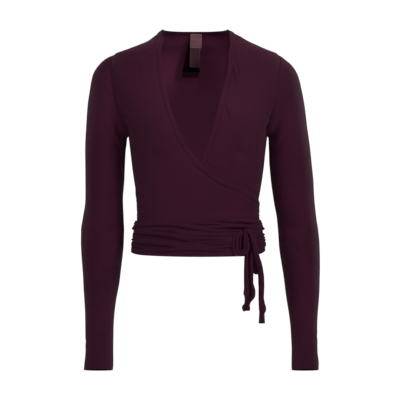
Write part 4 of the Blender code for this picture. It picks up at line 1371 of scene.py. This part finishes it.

# %% [markdown]
# ## Labels
# Two blank labels hang inside the back of the neck: a small satin one, and below it a longer
# care label, a plum tape. Behind the tape hangs a near-black sheet, fanned to one side: it is
# painted shadow, standing for the shade that the labels cast on the back. All are thin woven
# sheets with a soft curve, held at their top edge. Each is a sheet of its own with its own fine weave.

# %% Labels
LABEL_COLUMNS = ("x", "top_y", "top_z", "lean", "slant", "tilt", "bow", "twist", "crumple", "flare")
LABELS = {       # size, how it hangs, finish, thickness, node, slot
    "neck_label_satin": (NECK_LABEL_SIZE, (-2.8, 52.8, -2.2, 8.5, -0.8, 0.02, 0.5, 0.35, 0.45, 0.0),
                         SATIN, 0.5, "neck_label", "label_satin"),
    "care_label_tape": (CARE_TAPE_SIZE, (-4.4, 54.4, -3.0, 10, -1.6, 0.02, 0.6, -0.3, 0.3, 0.0),
                        TAPE, 0.5, "care_label", "care_tape"),
    # painted shadow: the near-black sheet where the labels' shadow falls
    "painted_label_shadow": (LABEL_SHADOW_SIZE, (-5.4, 56.4, -4.0, 12, -8.6, 0, -0.6, 0.5, 0.4, 9.0),
                        LABEL_SHADOW_SHEET, 0.4, "care_label", "care_tape"),
}
LABEL_CORNER, LABEL_CUP, LABEL_ACROSS = 2.2, 0.35, 33
LABEL_ROWS = np.concatenate([np.linspace(0, 0.06, 7)[:-1], np.linspace(0.06, 0.94, 44),
                             np.linspace(0.94, 1, 7)[1:]])


def label_points(size, hangs):
    """A sheet with round corners, bowed, twisted and a little crumpled at one side."""
    (width, length), at = size, dict(zip(LABEL_COLUMNS, hangs))
    down, s = LABEL_ROWS[:, None], np.linspace(-1, 1, LABEL_ACROSS)[None, :]
    lean = math.radians(at["lean"])
    along = length * down
    from_corner = np.maximum(LABEL_CORNER - np.minimum(along, length - along), 0)
    inset = LABEL_CORNER - np.sqrt(np.maximum(LABEL_CORNER ** 2 - from_corner ** 2, 0))
    out = at["bow"] * np.sin(np.pi * down) + LABEL_CUP * s ** 2 * down + at["twist"] * s * down
    out = out + at["crumple"] * ease((s + 0.2) / 1.2) * np.sin(9 * down + 2.6 * s)
    out = out + 0.4 * at["crumple"] * np.sin(17 * down)
    x = at["x"] + s * (width / 2 - inset + at["flare"] * down) + at["slant"] * down
    y = at["top_y"] + along * math.sin(lean) - out
    z = at["top_z"] - along * math.cos(lean) + at["tilt"] * at["slant"] * s * width
    return np.stack([x, y, z], axis=-1)


labels = {}
for name, (size, hangs, finish, thick, node, slot) in LABELS.items():
    labels[name] = label_points(size, hangs)
    cloth(name, labels[name], finish, node, flip=True, thick=thick, slot=slot)
    print(name, round(surface_area(labels[name]) * 1e4, 1), "square centimetres")

# %% [markdown]
# ## Stitching
# The binding is topstitched beside its seam, the cuffs and the ends of the ties are hemmed and
# the labels are sewn down. Each stitch is a small capsule of thread that lies half sunk in the
# cloth. A texture of stitches would lose its shape close up. All stitches of a seam are one mesh.

# %% Stitch helpers
CAPSULE = pairs_of("0,0 0.04,0.6 0.15,1 0.85,1 0.96,0.6 1,0")      # along, thickness
CAPSULE_SIDES, STITCH_LIFT = 6, 0.08


def evenly(points, pitch):
    """Places at even steps along a line of points."""
    run = lengths_along(points)
    at = np.arange(0.5 * pitch, run[-1] - 0.5 * pitch, pitch)
    return at, lambda where: np.stack([np.interp(where, run, points[:, k]) for k in range(3)], axis=1)


def capsule(start, along, up, side, radius):
    """The points of one stitch."""
    turns = [k * 2 * math.pi / CAPSULE_SIDES for k in range(CAPSULE_SIDES)]
    return [start + along * share + up * (STITCH_LIFT + radius * thick * math.sin(turn))
            + side * radius * thick * math.cos(turn) for share, thick in CAPSULE for turn in turns]


def capsule_faces(first):
    """The faces of the stitch whose points start at `first`."""
    faces = []
    for ring in range(first, first + (len(CAPSULE) - 1) * CAPSULE_SIDES, CAPSULE_SIDES):
        for k in range(CAPSULE_SIDES):
            p, q = ring + k, ring + (k + 1) % CAPSULE_SIDES
            faces.append((p, q, q + CAPSULE_SIDES, p + CAPSULE_SIDES))
    return faces


def stitches(name, lines, pitch=3.2, length=2.4, radius=0.24):
    """Rows of stitches along lines of points; each line comes with its outward directions."""
    points, faces = [], []
    for line, outwards in lines:
        at, place = evenly(line, pitch)
        start, end = place(at - length / 2), place(at + length / 2)
        nearest = np.argmin(np.linalg.norm(line[None] - ((start + end) / 2)[:, None], axis=2), axis=1)
        up, run = unit(outwards[nearest]), end - start
        for stitch in zip(start, run, up, unit(np.cross(run, up))):
            faces += capsule_faces(len(points))
            points += capsule(*stitch, radius)
    print(name, len(points) // len(CAPSULE) // CAPSULE_SIDES, "stitches")
    return dress(new_object(name, np.array(points), faces), THREAD)


def line_on(points, row=None, column=None, closed=False, flip=1):
    """A row or a column of a grid, with the outward directions there."""
    normals = grid_normals(points, closed) * flip
    if row is None:
        return points[:, column], normals[:, column]
    return [wrapped(grid[row][None], closed)[0] for grid in (points, normals)]


def cuff_line(side):
    """The row of a sleeve where its hem is stitched."""
    points = sleeves[side][:SLEEVE_ALONG]
    row = int(np.argmin(np.abs(points[:, 0, 2] - (CUFF_HEIGHT + CUFF_FOLD[-1][0]))))
    return line_on(points, row, closed=True, flip=-sign_of(side))


# %% Stitches
SEAM_PLACE = 3                       # the line of the binding's cross-section that is stitched
satin, tape = labels["neck_label_satin"], labels["care_label_tape"]
stitches("binding_stitches", [line_on(binding["right"], column=SEAM_PLACE),
                              line_on(binding["left"], column=SEAM_PLACE, flip=-1),
                              line_on(binding["back"], row=SEAM_PLACE)])
stitches("cuff_stitches", [cuff_line(side) for side in ("right", "left")])
stitches("tie_stitches", [line_on(strips["tie_end_" + side], row=-4, flip=-1) for side in ("left", "right")],
         pitch=2.6, length=2.0, radius=0.2)
stitches("label_stitches", [line_on(satin[:, 2:-2], row=2), line_on(tape, column=3),
                            line_on(tape, column=-4), line_on(tape[:, 4:-4], row=-8)],
         pitch=2.2, length=1.6, radius=0.14)

# %% [markdown]
# ## Flat sizes of the cut cloth
# Every piece is a sheet of cloth that was cut flat. The table says how wide and long each was,
# as far as it shows, and its area where the cut is no rectangle. Tubes are measured all round.

SHEETS = {          # width, length (mm), area (square mm) or None, how it is held, what it lies on
    "front_right_panel": (370, 500, 90500, "draped", ["front_left", "back"]),
    "front_left_panel": (360, 500, 88500, "draped", ["back"]),
    "back_panel": (400, 480, 164500, "draped", ["front_left", "front_right"]),
    "binding_right": (22, 545, None, "stretched", ["front_right_panel"]),
    "binding_left": (22, 520, None, "stretched", ["front_left_panel"]),
    "binding_back": (24, 180, None, "stretched", ["back_panel"]),
    "sleeve_right_tube": (300, 660, 145000, "draped", ["front_right", "back"]),
    "sleeve_left_tube": (300, 660, 143500, "draped", ["front_left", "back"]),
    "waist_wrap": (690, 120, None, "gathered", ["front_right", "front_left", "back"]),
    "bow_loop_left_cloth": (40, 118, None, "gathered", ["bow_knot", "waist_sash"]),
    "bow_loop_right_cloth": (13, 120, None, "gathered", ["bow_knot"]),
    "tie_end_left_cloth": (42, 154, None, "hung", ["bow_knot"]),
    "tie_end_right_cloth": (22, 184, None, "hung", ["bow_knot"]),
    "bow_knot_cloth": (14, 39, None, "gathered", ["waist_sash"]),
    "neck_label_satin": (*NECK_LABEL_SIZE, None, "hung", ["band_back"]),
    "care_label_tape": (*CARE_TAPE_SIZE, None, "hung", ["band_back"]),
    # the painted shadow sheet behind the care tape
    "painted_label_shadow": (27.5, 78, None, "hung", ["band_back"]),
}
for name, (width, length, area, held, below) in SHEETS.items():
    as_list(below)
print(len(SHEETS), "sheets of cloth declared")

# %% [markdown]
# ## Floor, light and camera
# The top hangs before plain white, in soft, even light from the front. The floor lies far
# below the hem, so that it takes no strong shadow. Two soft spots lift the chest and the
# inside of the neck, and two lamps behind draw the edges. The camera is level with the middle
# of the garment, three metres off, with a long lens.

# %% Floor
FLOOR_SIZE, FLOOR_HEIGHT = 3.2, -1.02          # metres


def plain_floor():
    """A pale matt floor."""
    nodes = Nodes("pale floor")
    cloud = nodes.noise(3.0, 2.0, nodes.place())
    colour = nodes.ramp(cloud, [(0.3, (0.88, 0.88, 0.88)), (0.7, (0.92, 0.92, 0.92))])
    bpy.ops.mesh.primitive_plane_add(size=FLOOR_SIZE, location=(0, 0, FLOOR_HEIGHT))
    floor = bpy.context.object
    floor.name = "floor"
    floor.data.materials.append(nodes.finish(colour=colour, rough=nodes.mix(0.8, (cloud, 0.1))))


plain_floor()


# %% Light
def aimed_lamp(name, kind, place, target, power):
    """A lamp of some kind, turned to its target."""
    lamp = bpy.data.objects.new(name, bpy.data.lights.new(name, kind))
    lamp.data.energy = power
    lamp.location = place
    aim = np.array(target) - np.array(place)
    yaw, pitch = math.atan2(aim[0], -aim[1]), math.atan2(np.hypot(aim[0], aim[1]), -aim[2])
    lamp.rotation_euler = (pitch, 0, math.pi + yaw)
    bpy.context.scene.collection.objects.link(lamp)
    return lamp.data


def area_light(name, place, size, power):
    """A soft box that faces the middle of the garment."""
    light = aimed_lamp(name, "AREA", place, MIDDLE, power)
    light.shape, light.size, light.size_y = "RECTANGLE", *size


def spot_light(name, place, target, cone, power, radius):
    """A lamp with a soft narrow cone."""
    light = aimed_lamp(name, "SPOT", place, target, power)
    light.spot_size, light.spot_blend, light.shadow_soft_size = math.radians(cone), 1.0, radius


def studio_world(seen_strength, strength):
    """White behind the garment, but only a soft share of it as light."""
    world = bpy.data.worlds.new("studio")
    bpy.context.scene.world = world
    world.use_nodes = True
    nodes, links = world.node_tree.nodes, world.node_tree.links
    seen, lit = nodes["Background"], nodes.new("ShaderNodeBackground")
    seen.inputs["Color"].default_value = lit.inputs["Color"].default_value = (1, 1, 1, 1)
    seen.inputs["Strength"].default_value, lit.inputs["Strength"].default_value = seen_strength, strength
    mix, path = nodes.new("ShaderNodeMixShader"), nodes.new("ShaderNodeLightPath")
    links.new(path.outputs["Is Camera Ray"], mix.inputs[0])
    links.new(lit.outputs[0], mix.inputs[1])
    links.new(seen.outputs[0], mix.inputs[2])
    links.new(mix.outputs[0], nodes["World Output"].inputs[0])


MIDDLE = (0.0, 0.0, -0.34)           # places and sizes of the lamps are in metres, powers in watts
area_light("key", (2.1, -2.3, 1.6), (0.7, 0.7), 86)
area_light("fill", (-2.2, -2.4, 0.9), (1.2, 1.2), 45)
area_light("front", (0.0, -3.2, -0.1), (0.45, 0.45), 7)
spot_light("chest", (0.15, -2.66, 1.14), (0.0, 0.0, -0.20), 11, 138, 0.08)
spot_light("neck", (1.20, -2.06, 1.66), (0.015, 0.07, -0.06), 6.0, 28, 0.02)
area_light("right rim", (1.8, 1.1, 0.2), (0.5, 1.8), 24)
area_light("left rim", (-1.8, 1.0, 0.3), (0.5, 1.8), 14)
area_light("top", (0.2, 0.1, 2.0), (1.6, 0.9), 14)
studio_world(1.05, 0.12)
bpy.context.scene.view_settings.view_transform = "Standard"

# %% Camera
CAMERA_PLACE = (0.0051, -3.0, -0.3485)
SENSOR, VIEW_WIDTH = 36, 0.82        # millimetres, and metres seen across at the garment
camera = bpy.data.objects.new("camera", bpy.data.cameras.new("camera"))
bpy.context.scene.collection.objects.link(camera)
camera.location = CAMERA_PLACE
camera.rotation_euler = (math.radians(90), 0, 0)
camera.data.sensor_width = SENSOR
camera.data.lens = SENSOR * -CAMERA_PLACE[1] / VIEW_WIDTH
camera.data.clip_end = 50
bpy.context.scene.camera = camera
print("lens:", round(camera.data.lens, 1), "mm")
